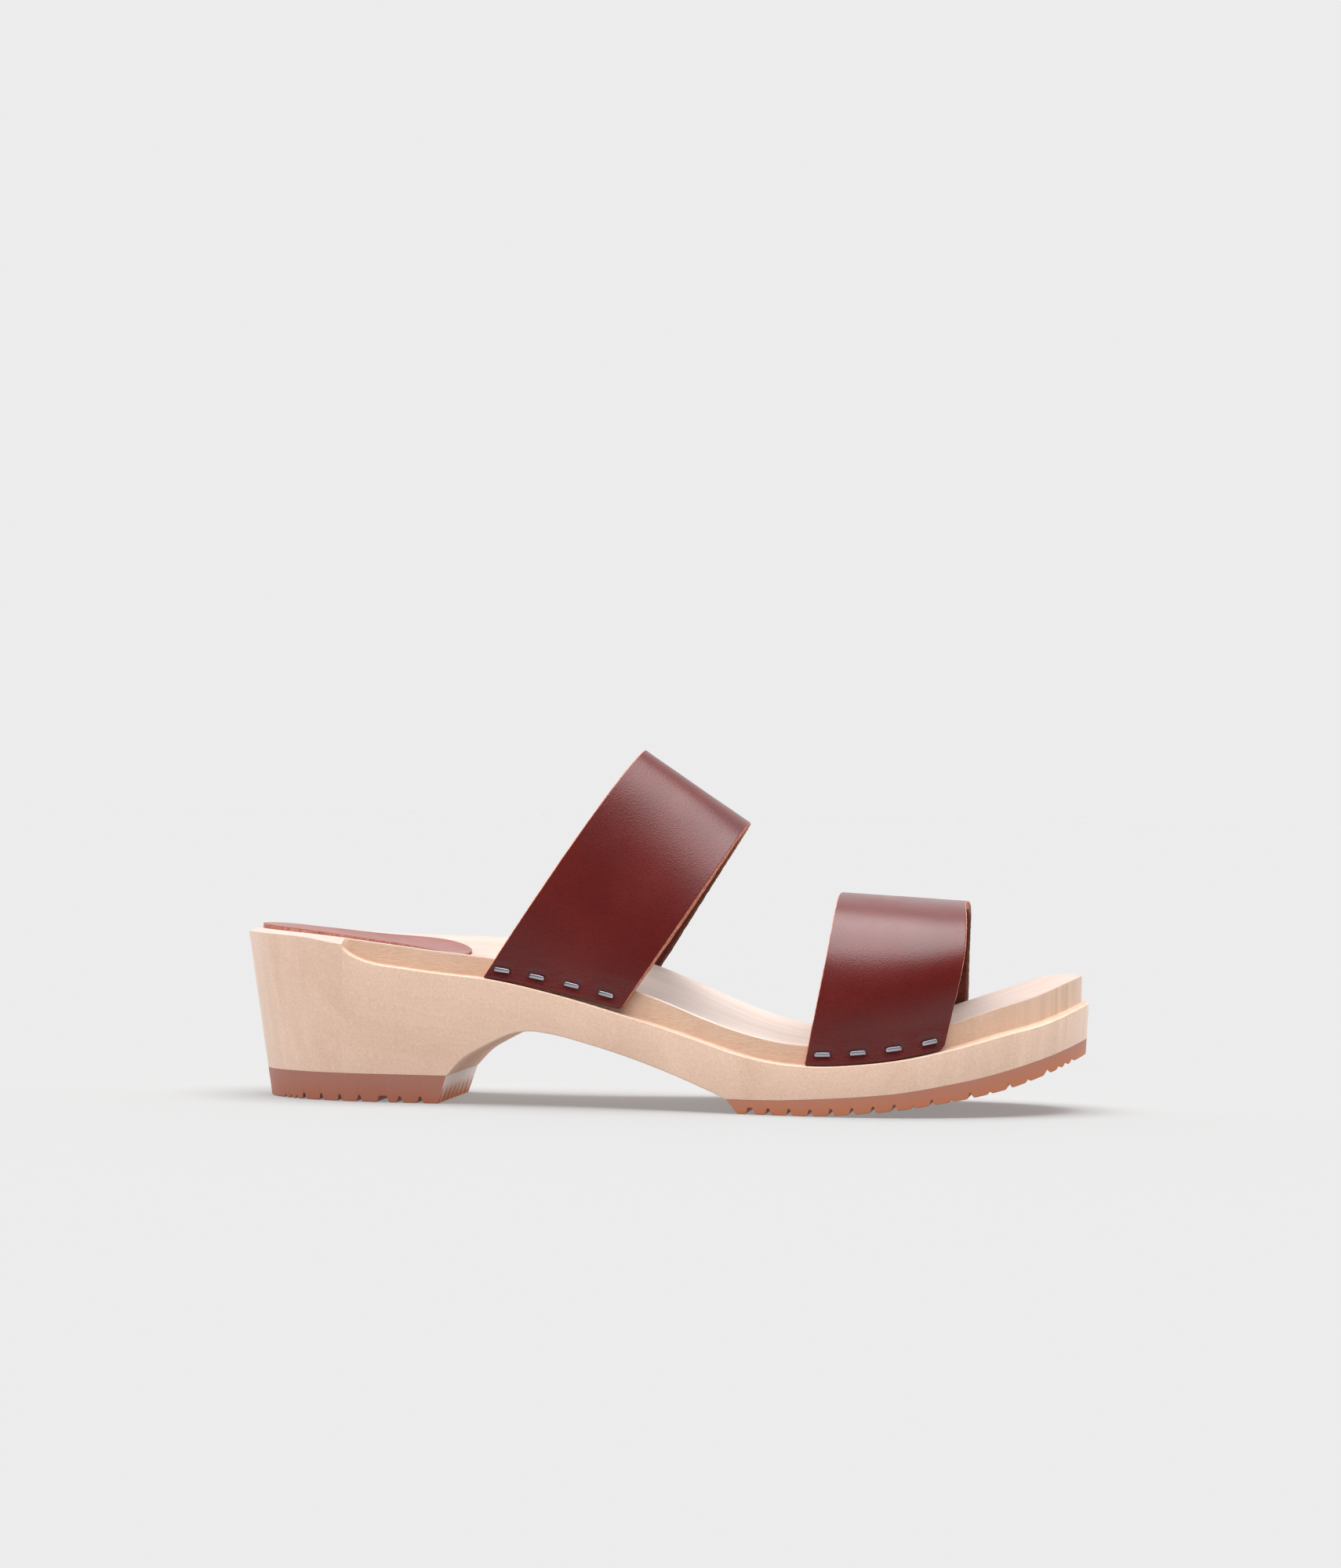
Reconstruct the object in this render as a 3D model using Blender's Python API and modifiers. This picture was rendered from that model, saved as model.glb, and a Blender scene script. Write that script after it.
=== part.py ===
"""Clog sandal for the right foot: wooden sole, rubber treads, two stapled leather straps and a heel pad.

Sizes below are millimetres; meshes are made in metres, +Z up. Stations run along the sole from the back of
the heel, x = 0, to the tip of the toe. y is 0 on the heel's centre line and grows to the big-toe side. The
part's own frame keeps these directions, with its origin on the floor under the middle of the outline.
"""

import math

import bmesh
import bpy
import numpy as np
from mathutils import Matrix, Vector

MM = 0.001
LATERAL = -1
MEDIAL = 1
SIDE_NAMES = {LATERAL: "lateral", MEDIAL: "medial"}
SEAT_GAP = 0.3
SHARP_ANGLE = 35.0

# Sole outline: half widths to each side of the centre line, closed by ellipses at the two ends,
# and how much the outer wall leans in for each millimetre down
SOLE_LENGTH = 248.0
HEEL_ROUND = 38.0
TOE_ROUND = {LATERAL: 73.0, MEDIAL: 58.0}
TOE_POWER = {LATERAL: 2.0, MEDIAL: 2.2}
OUTLINE_COLUMNS = ("x", "centre", "lateral", "medial", "draft")
OUTLINE = (
    (0.0, 0.0, 32.0, 32.0, 0.16),
    (40.0, 0.0, 32.5, 32.5, 0.12),
    (70.0, 0.0, 32.5, 31.0, 0.11),
    (100.0, 0.0, 33.2, 29.5, 0.10),
    (130.0, 0.0, 37.0, 33.5, 0.10),
    (160.0, 0.2, 43.2, 40.0, 0.09),
    (180.0, 0.6, 45.3, 42.0, 0.09),
    (200.0, 1.6, 46.0, 41.5, 0.08),
    (225.0, 4.8, 46.0, 40.5, 0.06),
    (248.0, 7.5, 46.0, 40.0, 0.05),
)

# Top of the sole: lateral rim height, how much higher the medial rim is, how deep the footbed is dished,
# and the depth and width of the ledge that carries the straps
TOP_COLUMNS = ("x", "rim", "rise", "dish", "rebate", "ledge")
TOP = (
    (0.0, 49.4, 0.0, 0.0, 6.0, 3.6),
    (7.0, 49.2, 0.0, 0.2, 6.0, 3.6),
    (20.0, 48.6, 0.0, 1.8, 6.0, 3.6),
    (34.0, 47.5, 0.2, 2.7, 6.2, 3.6),
    (46.0, 46.1, 1.2, 3.0, 6.3, 3.6),
    (60.0, 44.4, 2.8, 3.2, 6.3, 3.6),
    (77.0, 42.6, 4.2, 3.4, 6.2, 3.6),
    (98.0, 39.0, 4.9, 3.4, 7.0, 3.6),
    (117.0, 34.8, 4.9, 3.1, 7.9, 3.6),
    (128.0, 31.1, 4.4, 2.8, 7.3, 3.6),
    (139.0, 26.8, 3.7, 2.6, 6.4, 3.6),
    (150.0, 23.3, 2.9, 2.5, 6.3, 3.6),
    (160.0, 21.1, 2.1, 2.4, 6.1, 3.6),
    (171.0, 20.1, 1.8, 2.4, 5.9, 3.6),
    (185.0, 20.6, 2.3, 2.2, 5.7, 3.7),
    (198.0, 22.8, 3.1, 2.0, 6.2, 3.9),
    (211.0, 26.5, 3.8, 1.6, 7.0, 4.3),
    (225.0, 31.0, 4.0, 1.1, 7.6, 4.5),
    (238.0, 35.2, 3.8, 0.7, 8.1, 3.8),
    (248.0, 40.0, 0.0, 0.3, 8.2, 2.2),
)
DISH_POWER = 2.2
HEEL_EDGE_DROP = 1.0
THUMB_START = 20.0
THUMB_DROP = 1.9
REBATE_START = 33.7
REBATE_RUN = 12.3
LEDGE_RUN = 2.4
EDGE_ROUND = 0.9
EDGE_ROUND_SHARE = (0.2, 0.9)

# Underside of the wood: flat heel seat, hollow arch, then the curve of the forefoot up to the toe
HEEL_SEAT = 8.2
BREAST_X = 64.5
ARCH_X = 92.0
BALL_X = 146.5
TOE_X = 205.0
UNDER_COLUMNS = ("x", "height")
ARCH = (
    (64.5, 8.2),
    (69.2, 13.2),
    (73.5, 15.9),
    (78.0, 18.3),
    (83.0, 20.6),
    (88.0, 21.6),
    (95.0, 21.0),
    (104.0, 18.9),
    (122.0, 13.6),
    (132.0, 10.0),
    (146.5, 4.1),
)
FOREFOOT = (
    (146.5, 4.1),
    (163.5, 4.4),
    (172.0, 4.9),
    (187.0, 6.0),
    (195.0, 6.8),
    (208.0, 9.0),
    (221.0, 11.8),
    (231.5, 14.9),
    (240.0, 17.9),
    (248.0, 21.4),
)

# How finely the wood is cut into sections, along each run of the sole and across it
RUN_SECTIONS = {"heel": 10, "run_out": 6, "seat": 4, "breast": 11, "arch": 8, "ball": 9, "toe": 11}
UNDER_STEPS = 4
FOOTBED_STEPS = 12
STATIONS_APART = 0.02

# Rubber treads: thickness, what is added to it towards the toe, slant of their end faces, and the grooves
# that leave the lugs standing
TREAD_THICKNESS = 4.6
TREAD_EXTRA = {200.0: 0.0, 228.0: 0.5, 248.0: -0.4}
TREAD_SECTIONS = {"heel": 9, "ball": 8, "toe": 10}
LIPS_APART = 0.12
HEEL_FRONT_SLANT = 2.6
FOREFOOT_REAR_SLANT = 3.6
GROOVE_COLUMNS = ("first", "pitch", "count", "mouth", "root", "depth")
HEEL_GROOVES = (
    (10.1, 2.55, 3, 1.4, 0.5, 0.7),
    (18.4, 6.8, 4, 2.2, 0.9, 1.7),
    (45.8, 6.0, 1, 4.0, 2.4, 1.7),
    (50.8, 6.0, 2, 2.2, 0.9, 1.7),
)
FOREFOOT_GROOVES = (
    (153.8, 6.0, 1, 3.0, 1.6, 1.7),
    (159.1, 6.04, 7, 2.2, 0.9, 1.7),
    (200.5, 5.4, 8, 2.2, 0.9, 1.6),
    (240.7, 2.0, 3, 1.3, 0.5, 0.7),
)

# Heel pad: it starts a little in from the back of the heel, keeps a margin to each side and thins out
# from its back to its nose
PAD_THICKNESS = (1.35, 0.9)
PAD_BACK = 4.2
PAD_MARGIN = {LATERAL: 6.0, MEDIAL: 10.5}
PAD_NOSE_X = 66.0
PAD_NOSE_ROUND = 22.0
PAD_NOSE_POWER = 2.4
PAD_SECTIONS = {"back": 8, "middle": 3, "nose": 8}
PAD_STEPS = 8

# Straps: pairs of values at the rear and front edge. Each strap stands on the ledge at foot, further forward
# by medial_shift on that side, may be raised a little off it, and crosses the top of its arch at the crown;
# in between, each side bows forward or back, more with the height, until the bow fades over the crown. An
# arch_power of 2 makes the arch an ellipse, a higher one makes it squarer. The staples sit at a height over
# the foot, the first one at a share of the strap's width and the others a step apart
STRAP_THICKNESS = 2.4
STRAP_RISER = 8.0
BOW_FADE = 1.2
STRAPS = {
    "instep": {
        "foot": (74.9, 115.4),
        "medial_shift": (0.0, 0.1),
        "raised": (0.0, 1.4),
        "crown_x": (117.3, 148.6),
        "crown_z": (103.6, 82.4),
        "lateral_bow": (-1.25, 1.25),
        "medial_bow": (-1.75, -1.9),
        "arch_power": 2.0,
        "staple_first": 0.097,
        "staple_step": 0.25,
        "staple_height": 2.8,
    },
    "toe": {
        "foot": (169.3, 209.2),
        "medial_shift": (2.0, 2.0),
        "raised": (0.0, 0.3),
        "crown_x": (175.4, 212.5),
        "crown_z": (62.7, 60.6),
        "lateral_bow": (2.5, 5.5),
        "medial_bow": (-0.25, -0.75),
        "arch_power": 2.4,
        "staple_first": 0.115,
        "staple_step": 0.255,
        "staple_height": 3.3,
    },
}
STRAP_WIDTH_STEPS = 10
STRAP_ARCH_STEPS = 24
STRAP_RISER_STEPS = 2

# Staples: flat wire with two legs through the leather into the wall of the ledge
STAPLES_PER_END = 4
STAPLE_CROWN = 4.8
STAPLE_WIRE = 0.7
STAPLE_FLAT = 1.2
STAPLE_LEG = 6.0

# Colour, roughness and metallic value of each material
FINISHES = {
    "alder_wood": ((0.78, 0.56, 0.40), 0.6, 0.0),
    "gum_rubber": ((0.45, 0.20, 0.11), 0.55, 0.0),
    "oxblood_leather": ((0.14, 0.02, 0.016), 0.4, 0.0),
    "pad_leather": ((0.16, 0.03, 0.025), 0.45, 0.0),
    "staple_steel": ((0.45, 0.45, 0.48), 0.3, 1.0),
}


def column(table, names, name):
    """A smooth curve through one column of a table, over its x column."""
    rows = np.array(table)
    x = rows[:, names.index("x")]
    value = rows[:, names.index(name)]
    slope = np.gradient(value, x)

    def curve(at):
        at = min(max(at, x[0]), x[-1])
        i = min(int(np.searchsorted(x, at, side="right")) - 1, len(x) - 2)
        span = x[i + 1] - x[i]
        t = (at - x[i]) / span
        start = (1 + 2 * t) * (1 - t) ** 2 * value[i] + t * (1 - t) ** 2 * span * slope[i]
        end = t * t * (3 - 2 * t) * value[i + 1] + t * t * (t - 1) * span * slope[i + 1]
        return float(start + end)

    return curve


centre_y = column(OUTLINE, OUTLINE_COLUMNS, "centre")
half_width = {side: column(OUTLINE, OUTLINE_COLUMNS, SIDE_NAMES[side]) for side in (LATERAL, MEDIAL)}
wall_draft = column(OUTLINE, OUTLINE_COLUMNS, "draft")
lateral_rim = column(TOP, TOP_COLUMNS, "rim")
medial_rise = column(TOP, TOP_COLUMNS, "rise")
dish_depth = column(TOP, TOP_COLUMNS, "dish")
rebate_depth = column(TOP, TOP_COLUMNS, "rebate")
ledge_width = column(TOP, TOP_COLUMNS, "ledge")
arch_height = column(ARCH, UNDER_COLUMNS, "height")
forefoot_height = column(FOREFOOT, UNDER_COLUMNS, "height")


def mix(a, b, t):
    return a + (b - a) * t


def closing(distance, length, power=2.0):
    """Share of the full width at a distance from an end that closes in a rounded curve."""
    short = min(max(1 - distance / length, 0), 1)
    return (1 - short**power) ** (1 / power)


def quarter_round(x, start, run):
    """0 before the start, then up a quarter ellipse to 1 after the run."""
    short = min(max(1 - (x - start) / run, 0), 1)
    return math.sqrt(1 - short**2)


def side_y(x, side):
    toe = closing(SOLE_LENGTH - x, TOE_ROUND[side], TOE_POWER[side])
    return centre_y(x) + side * half_width[side](x) * closing(x, HEEL_ROUND) * toe


def inset(x, side, distance):
    """Plan point at a station, moved in from the outline by a distance square to it."""
    if x <= 0:
        return np.array((distance, side_y(0, side)))
    if x >= SOLE_LENGTH:
        return np.array((SOLE_LENGTH - distance, side_y(SOLE_LENGTH, side)))
    step = min(0.01, x / 2, (SOLE_LENGTH - x) / 2)
    slope = (side_y(x + step, side) - side_y(x - step, side)) / (2 * step)
    outward = side * np.array((-slope, 1)) / math.hypot(slope, 1)
    return np.array((x, side_y(x, side))) - outward * distance


def rim_height(x, side):
    return lateral_rim(x) + (medial_rise(x) if side == MEDIAL else 0)


def edge_height(x, side):
    """Top of the outer wall: just under the rim round the heel, then down to the strap ledge."""
    thumb = min(max((x - THUMB_START) / (REBATE_START - THUMB_START), 0), 1)
    heel_drop = mix(HEEL_EDGE_DROP, THUMB_DROP, thumb**2 * (3 - 2 * thumb))
    drop = mix(heel_drop, rebate_depth(x), quarter_round(x, REBATE_START, REBATE_RUN))
    return rim_height(x, side) - drop


def wall_point(x, side, z):
    """Point on the outer wall, which leans in on its way down."""
    return (*inset(x, side, wall_draft(x) * (edge_height(x, side) - z)), z)


def underside(x):
    if x <= BREAST_X:
        return HEEL_SEAT
    return arch_height(x) if x <= BALL_X else forefoot_height(x)


def footbed_height(x, y):
    """Height of the footbed at a plan point: level with the rims at the sides and dished between them."""
    margin = ledge_width(x) + EDGE_ROUND
    lateral = side_y(x, LATERAL) + margin
    medial = side_y(x, MEDIAL) - margin
    across = min(max((y - lateral) / max(medial - lateral, margin), 0), 1)
    dished = dish_depth(x) * (1 - abs(2 * across - 1) ** DISH_POWER)
    return mix(rim_height(x, LATERAL), rim_height(x, MEDIAL), across) - dished


y_reach = [[side_y(x, side) for x in np.linspace(0, SOLE_LENGTH, 400)] for side in (LATERAL, MEDIAL)]
FRAME_ORIGIN = np.array((SOLE_LENGTH / 2, (min(y_reach[0]) + max(y_reach[1])) / 2, 0))


def to_frame(point):
    return Vector((np.array(point) - FRAME_ORIGIN) * MM)


def clear_scene():
    for thing in list(bpy.data.objects):
        bpy.data.objects.remove(thing, do_unlink=True)


def make_collection(name):
    collection = bpy.data.collections.new(name)
    bpy.context.scene.collection.children.link(collection)
    return collection


def make_material(name):
    colour, roughness, metallic = FINISHES[name]
    material = bpy.data.materials.new(name)
    material.use_nodes = True
    shader = material.node_tree.nodes["Principled BSDF"]
    shader.inputs["Base Color"].default_value = (*colour, 1)
    shader.inputs["Roughness"].default_value = roughness
    shader.inputs["Metallic"].default_value = metallic
    return material


def mesh_object(name, bm, collection, material):
    mesh = bpy.data.meshes.new(name)
    bm.to_mesh(mesh)
    bm.free()
    mesh.shade_smooth()
    mesh.set_sharp_from_angle(angle=math.radians(SHARP_ANGLE))
    mesh.materials.append(material)
    thing = bpy.data.objects.new(name, mesh)
    collection.objects.link(thing)
    return thing


def loft(sections, cap_first=False, cap_last=False):
    """Skin over closed sections of equal point counts; an end that narrows to a line closes itself."""
    bm = bmesh.new()
    rings = [[bm.verts.new(to_frame(point)) for point in section] for section in sections]
    for here, there in zip(rings, rings[1:]):
        for i in range(len(here)):
            bm.faces.new((here[i - 1], here[i], there[i], there[i - 1]))
    if cap_first:
        bm.faces.new(rings[0])
    if cap_last:
        bm.faces.new(rings[-1])
    bmesh.ops.remove_doubles(bm, verts=bm.verts, dist=0.001 * MM)
    bmesh.ops.recalc_face_normals(bm, faces=bm.faces)
    return bm


def eased(start, end, count):
    """Stations that crowd together at the start, for a round end."""
    return [mix(start, end, 1 - math.cos(t)) for t in np.linspace(0, math.pi / 2, count)]


def merged(*runs, apart=STATIONS_APART):
    """All stations of several runs in order, without near repeats."""
    kept = []
    for x in sorted(x for run in runs for x in run):
        if not kept or x - kept[-1] > apart:
            kept.append(x)
    return kept


def sole_stations():
    rebate_end = REBATE_START + REBATE_RUN
    return merged(
        eased(0, REBATE_START, RUN_SECTIONS["heel"]),
        eased(REBATE_START, rebate_end, RUN_SECTIONS["run_out"]),
        np.linspace(rebate_end, BREAST_X, RUN_SECTIONS["seat"]),
        np.linspace(BREAST_X, ARCH_X, RUN_SECTIONS["breast"]),
        np.linspace(ARCH_X, BALL_X, RUN_SECTIONS["arch"]),
        np.linspace(BALL_X, TOE_X, RUN_SECTIONS["ball"]),
        eased(SOLE_LENGTH, TOE_X, RUN_SECTIONS["toe"]),
    )


def sole_section(x):
    feet = [np.array(wall_point(x, side, underside(x))) for side in (MEDIAL, LATERAL)]
    rims = [inset(x, side, ledge_width(x) + EDGE_ROUND) for side in (LATERAL, MEDIAL)]
    entry = quarter_round(x, REBATE_START, LEDGE_RUN)

    def side_rows(side):
        edge = edge_height(x, side)
        width = ledge_width(x)
        wall_top = rim_height(x, side) - EDGE_ROUND * mix(*EDGE_ROUND_SHARE, entry)
        return [
            (*inset(x, side, 0), edge),
            (*inset(x, side, width * entry), edge),
            (*inset(x, side, width), wall_top),
        ]

    under = [mix(*feet, t) for t in np.linspace(0, 1, UNDER_STEPS + 1)]
    plan = [mix(*rims, t) for t in np.linspace(0, 1, FOOTBED_STEPS + 1)]
    bed = [(*point, footbed_height(*point)) for point in plan]
    return under + side_rows(LATERAL) + bed + side_rows(MEDIAL)[::-1]


def groove_profile(rows, low):
    """Stations and depths along a tread: each groove has two lips and two root corners."""
    profile = []
    for row in rows:
        groove = dict(zip(GROOVE_COLUMNS, row))
        lip = groove["mouth"] / 2
        corner = groove["root"] / 2
        x = groove["first"]
        for _ in range(groove["count"]):
            floor = [(x - corner, groove["depth"]), (x + corner, groove["depth"])]
            profile += [(x - lip, 0), *floor, (x + lip, 0)]
            slope = (low(x + lip) - low(x - lip)) / (2 * lip)
            x += groove["pitch"] / math.hypot(1, slope)
    return np.array(profile)


def tread_sections(stations, low, grooves, slants):
    """Sections of a tread from the wood to its lugs; slants move the bottom of the first and last one."""
    profile = groove_profile(grooves, low)
    every = merged(profile[:, 0], stations, apart=LIPS_APART)
    stations = [x for x in every if stations[0] <= x <= stations[-1]]
    slant_at = {stations[0]: slants[0], stations[-1]: slants[1]}
    sections = []
    for x in stations:
        foot_x = x + slant_at.get(x, 0)
        bottom = low(foot_x) + float(np.interp(foot_x, profile[:, 0], profile[:, 1]))
        top = underside(x) - SEAT_GAP
        sections.append([
            wall_point(x, LATERAL, top),
            wall_point(foot_x, LATERAL, bottom),
            wall_point(foot_x, MEDIAL, bottom),
            wall_point(x, MEDIAL, top),
        ])
    return sections


def heel_low(x):
    return 0.0


def forefoot_low(x):
    extra = float(np.interp(x, list(TREAD_EXTRA), list(TREAD_EXTRA.values())))
    return max(0.0, underside(max(x, BALL_X)) - SEAT_GAP - TREAD_THICKNESS - extra)


def pad_section(x):
    """Section of the pad, inside the footbed's rim and rounded off at the nose."""
    nose = closing(PAD_NOSE_X - x, PAD_NOSE_ROUND, PAD_NOSE_POWER)
    heel = closing(x - PAD_BACK, HEEL_ROUND - PAD_BACK)
    edges = [side * (half_width[side](x) - PAD_MARGIN[side]) * heel * nose for side in (LATERAL, MEDIAL)]
    row = [(x, y, footbed_height(x, y) + SEAT_GAP) for y in np.linspace(*edges, PAD_STEPS + 1)]
    thickness = mix(*PAD_THICKNESS, (x - PAD_BACK) / (PAD_NOSE_X - PAD_BACK))
    return row + [(px, py, pz + thickness) for px, py, pz in row[::-1]]


def strap_point(strap, along, across, riser, lift):
    """Point on a strap's outer face.

    along runs from the rear edge, 0, to the front edge, 1, and across from the lateral foot, -1, to the
    medial foot, 1. riser is the share climbed of the upright foot, and lift that of the arch over it.
    """
    at = {key: mix(*pair, along) for key, pair in STRAPS[strap].items() if isinstance(pair, tuple)}
    side_share = (across + 1) / 2
    bow = mix(at["lateral_bow"], at["medial_bow"], side_share)
    feet_x = {LATERAL: at["foot"], MEDIAL: at["foot"] + at["medial_shift"]}
    feet_z = [edge_height(x, side) + SEAT_GAP + at["raised"] for side, x in feet_x.items()]
    height = at["crown_z"] - sum(feet_z) / 2
    reach = at["crown_x"] - mix(*feet_x.values(), side_share)

    def forward(rise):
        return (reach + bow * abs(across) ** BOW_FADE) * rise

    def foot_point(side):
        station = feet_x[side] + forward(climb)
        return inset(station, side, ledge_width(station) - SEAT_GAP - STRAP_THICKNESS)

    climb = STRAP_RISER * riser / height
    rise = climb + (1 - STRAP_RISER / height) * lift
    x, y = mix(foot_point(LATERAL), foot_point(MEDIAL), side_share)
    return np.array((x + forward(rise) - forward(climb), y, mix(*feet_z, side_share) + height * rise))


def strap_surface(strap):
    """Open grid over the strap's outer face, with its faces pointing out."""
    feet = np.linspace(0, 1, STRAP_RISER_STEPS + 1)
    turns = np.linspace(0, math.pi, STRAP_ARCH_STEPS + 1)[1:-1]
    bend = 2 / STRAPS[strap]["arch_power"]
    arch = [(LATERAL, riser, 0) for riser in feet]
    arch += [(math.copysign(abs(math.cos(t)) ** bend, -math.cos(t)), 1, math.sin(t) ** bend) for t in turns]
    arch += [(MEDIAL, riser, 0) for riser in feet[::-1]]
    bm = bmesh.new()
    rows = [
        [bm.verts.new(to_frame(strap_point(strap, along, *place))) for place in arch]
        for along in np.linspace(0, 1, STRAP_WIDTH_STEPS + 1)
    ]
    for here, there in zip(rows, rows[1:]):
        for i in range(len(arch) - 1):
            bm.faces.new((here[i], there[i], there[i + 1], here[i + 1]))
    return bm


def staple_matrix(strap, side, along):
    """Frame on the strap's outer face: X along its lower edge, Y into the shoe, Z up."""
    riser = STRAPS[strap]["staple_height"] / STRAP_RISER
    step = 0.01
    here = strap_point(strap, along, side, riser, 0)
    forward = Vector(strap_point(strap, along + step, side, riser, 0) - here).normalized()
    up = Vector(strap_point(strap, along, side, riser + step, 0) - here)
    inward = up.cross(forward).normalized()
    if inward.y * side > 0:
        inward = -inward
    turned = Matrix((forward, inward, forward.cross(inward))).transposed().to_4x4()
    return Matrix.Translation(to_frame(here)) @ turned


def staple_outline():
    """Crown and two legs of a staple in its own plane; the crown clears the leather."""
    half = STAPLE_CROWN / 2
    inner = half - STAPLE_WIRE
    outside = -SEAT_GAP - STAPLE_WIRE
    return [
        (-half, outside),
        (half, outside),
        (half, STAPLE_LEG),
        (inner, STAPLE_LEG),
        (inner, -SEAT_GAP),
        (-inner, -SEAT_GAP),
        (-inner, STAPLE_LEG),
        (-half, STAPLE_LEG),
    ]


def staple_curve():
    curve = bpy.data.curves.new("staple", "CURVE")
    curve.dimensions = "2D"
    curve.fill_mode = "BOTH"
    curve.extrude = STAPLE_FLAT / 2 * MM
    outline = staple_outline()
    spline = curve.splines.new("POLY")
    spline.points.add(len(outline) - 1)
    for point, (x, y) in zip(spline.points, outline):
        point.co = (x * MM, y * MM, 0, 1)
    spline.use_cyclic_u = True
    return curve


def leg_holes(name, frames, collection):
    """Cutter with a clear pocket round each leg of the staples."""
    bm = bmesh.new()
    size = Vector((STAPLE_WIRE + 2 * SEAT_GAP, STAPLE_LEG + 3 * SEAT_GAP, STAPLE_FLAT + 2 * SEAT_GAP)) * MM
    leg_x = (STAPLE_CROWN - STAPLE_WIRE) / 2
    leg_y = (STAPLE_LEG - SEAT_GAP) / 2
    for frame in frames:
        for end in (-1, 1):
            place = Matrix.Translation(Vector((end * leg_x, leg_y, 0)) * MM) @ Matrix.Diagonal((*size, 1))
            bmesh.ops.create_cube(bm, size=1, matrix=frame @ place)
    mesh = bpy.data.meshes.new(name)
    bm.to_mesh(mesh)
    bm.free()
    cutter = bpy.data.objects.new(name, mesh)
    cutter.hide_render = True
    cutter.display_type = "WIRE"
    collection.objects.link(cutter)
    return cutter


def cut(thing, cutter):
    modifier = thing.modifiers.new(cutter.name, "BOOLEAN")
    modifier.operation = "DIFFERENCE"
    modifier.object = cutter


def make_sole(parts, material):
    bm = loft([sole_section(x) for x in sole_stations()])
    return mesh_object("wood_sole", bm, parts, material)


def make_treads(parts, material):
    heel_stations = merged(eased(0, HEEL_ROUND, TREAD_SECTIONS["heel"]), [BREAST_X])
    heel_sections = tread_sections(heel_stations, heel_low, HEEL_GROOVES, (0, -HEEL_FRONT_SLANT))
    mesh_object("heel_rubber", loft(heel_sections, cap_last=True), parts, material)
    ball = np.linspace(BALL_X, TOE_X, TREAD_SECTIONS["ball"])
    toe = eased(SOLE_LENGTH, TOE_X, TREAD_SECTIONS["toe"])
    fore_slants = (FOREFOOT_REAR_SLANT, 0)
    fore_sections = tread_sections(merged(ball, toe), forefoot_low, FOREFOOT_GROOVES, fore_slants)
    mesh_object("forefoot_rubber", loft(fore_sections, cap_first=True), parts, material)


def make_pad(parts, material):
    nose_start = PAD_NOSE_X - PAD_NOSE_ROUND
    stations = merged(
        eased(PAD_BACK, HEEL_ROUND, PAD_SECTIONS["back"]),
        np.linspace(HEEL_ROUND, nose_start, PAD_SECTIONS["middle"]),
        eased(PAD_NOSE_X, nose_start, PAD_SECTIONS["nose"]),
    )
    mesh_object("heel_pad", loft([pad_section(x) for x in stations]), parts, material)


def make_strap(strap, parts, material):
    thing = mesh_object("strap_" + strap, strap_surface(strap), parts, material)
    shell = thing.modifiers.new("thickness", "SOLIDIFY")
    shell.thickness = STRAP_THICKNESS * MM
    shell.offset = -1
    shell.use_even_offset = True
    return thing


def make_staples(strap, parts, material):
    """Staples of one strap, and their frames."""
    frames = []
    for side in (LATERAL, MEDIAL):
        for i in range(STAPLES_PER_END):
            along = STRAPS[strap]["staple_first"] + i * STRAPS[strap]["staple_step"]
            frame = staple_matrix(strap, side, along)
            curve = staple_curve()
            curve.materials.append(material)
            staple = bpy.data.objects.new(f"staple_{strap}_{SIDE_NAMES[side]}_{i + 1}", curve)
            staple.matrix_world = frame
            parts.objects.link(staple)
            frames.append(frame)
    return frames


def main():
    clear_scene()
    parts = make_collection("clog_sandal")
    cutters = make_collection("cutters")
    materials = {name: make_material(name) for name in FINISHES}
    sole = make_sole(parts, materials["alder_wood"])
    make_treads(parts, materials["gum_rubber"])
    make_pad(parts, materials["pad_leather"])
    for strap in STRAPS:
        leather = make_strap(strap, parts, materials["oxblood_leather"])
        frames = make_staples(strap, parts, materials["staple_steel"])
        cutter = leg_holes(f"leg_holes_{strap}", frames, cutters)
        cut(leather, cutter)
        cut(sole, cutter)


main()
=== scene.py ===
"""Looks of the clog sandal: finer pieces over the frame, their materials, floor, light and camera.

Sizes are millimetres in the shoe's own stations, as in the part: x from the back of the heel to the toe,
y from the heel's centre line to the big-toe side, z up from the floor. to_frame() turns them into the
frame's metres, which the materials use.
"""

import math

import bmesh
import bpy
import numpy as np
from mathutils import Matrix, Vector, noise


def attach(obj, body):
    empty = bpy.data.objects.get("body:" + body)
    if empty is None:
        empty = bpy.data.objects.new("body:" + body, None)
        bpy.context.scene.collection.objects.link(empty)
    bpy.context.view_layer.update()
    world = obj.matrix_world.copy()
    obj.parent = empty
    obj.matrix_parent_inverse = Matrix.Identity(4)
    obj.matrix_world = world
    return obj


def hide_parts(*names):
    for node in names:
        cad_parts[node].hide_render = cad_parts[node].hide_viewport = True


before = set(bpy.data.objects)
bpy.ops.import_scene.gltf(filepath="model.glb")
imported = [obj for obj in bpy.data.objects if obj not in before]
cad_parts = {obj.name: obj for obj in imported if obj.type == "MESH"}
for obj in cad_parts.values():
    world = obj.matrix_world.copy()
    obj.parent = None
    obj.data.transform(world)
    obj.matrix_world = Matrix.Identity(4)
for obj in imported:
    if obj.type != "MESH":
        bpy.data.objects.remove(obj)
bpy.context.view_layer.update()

MM = 0.001
MARK = "mark"
WAVE_AT_SCALE_1 = math.tau / 20
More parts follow.
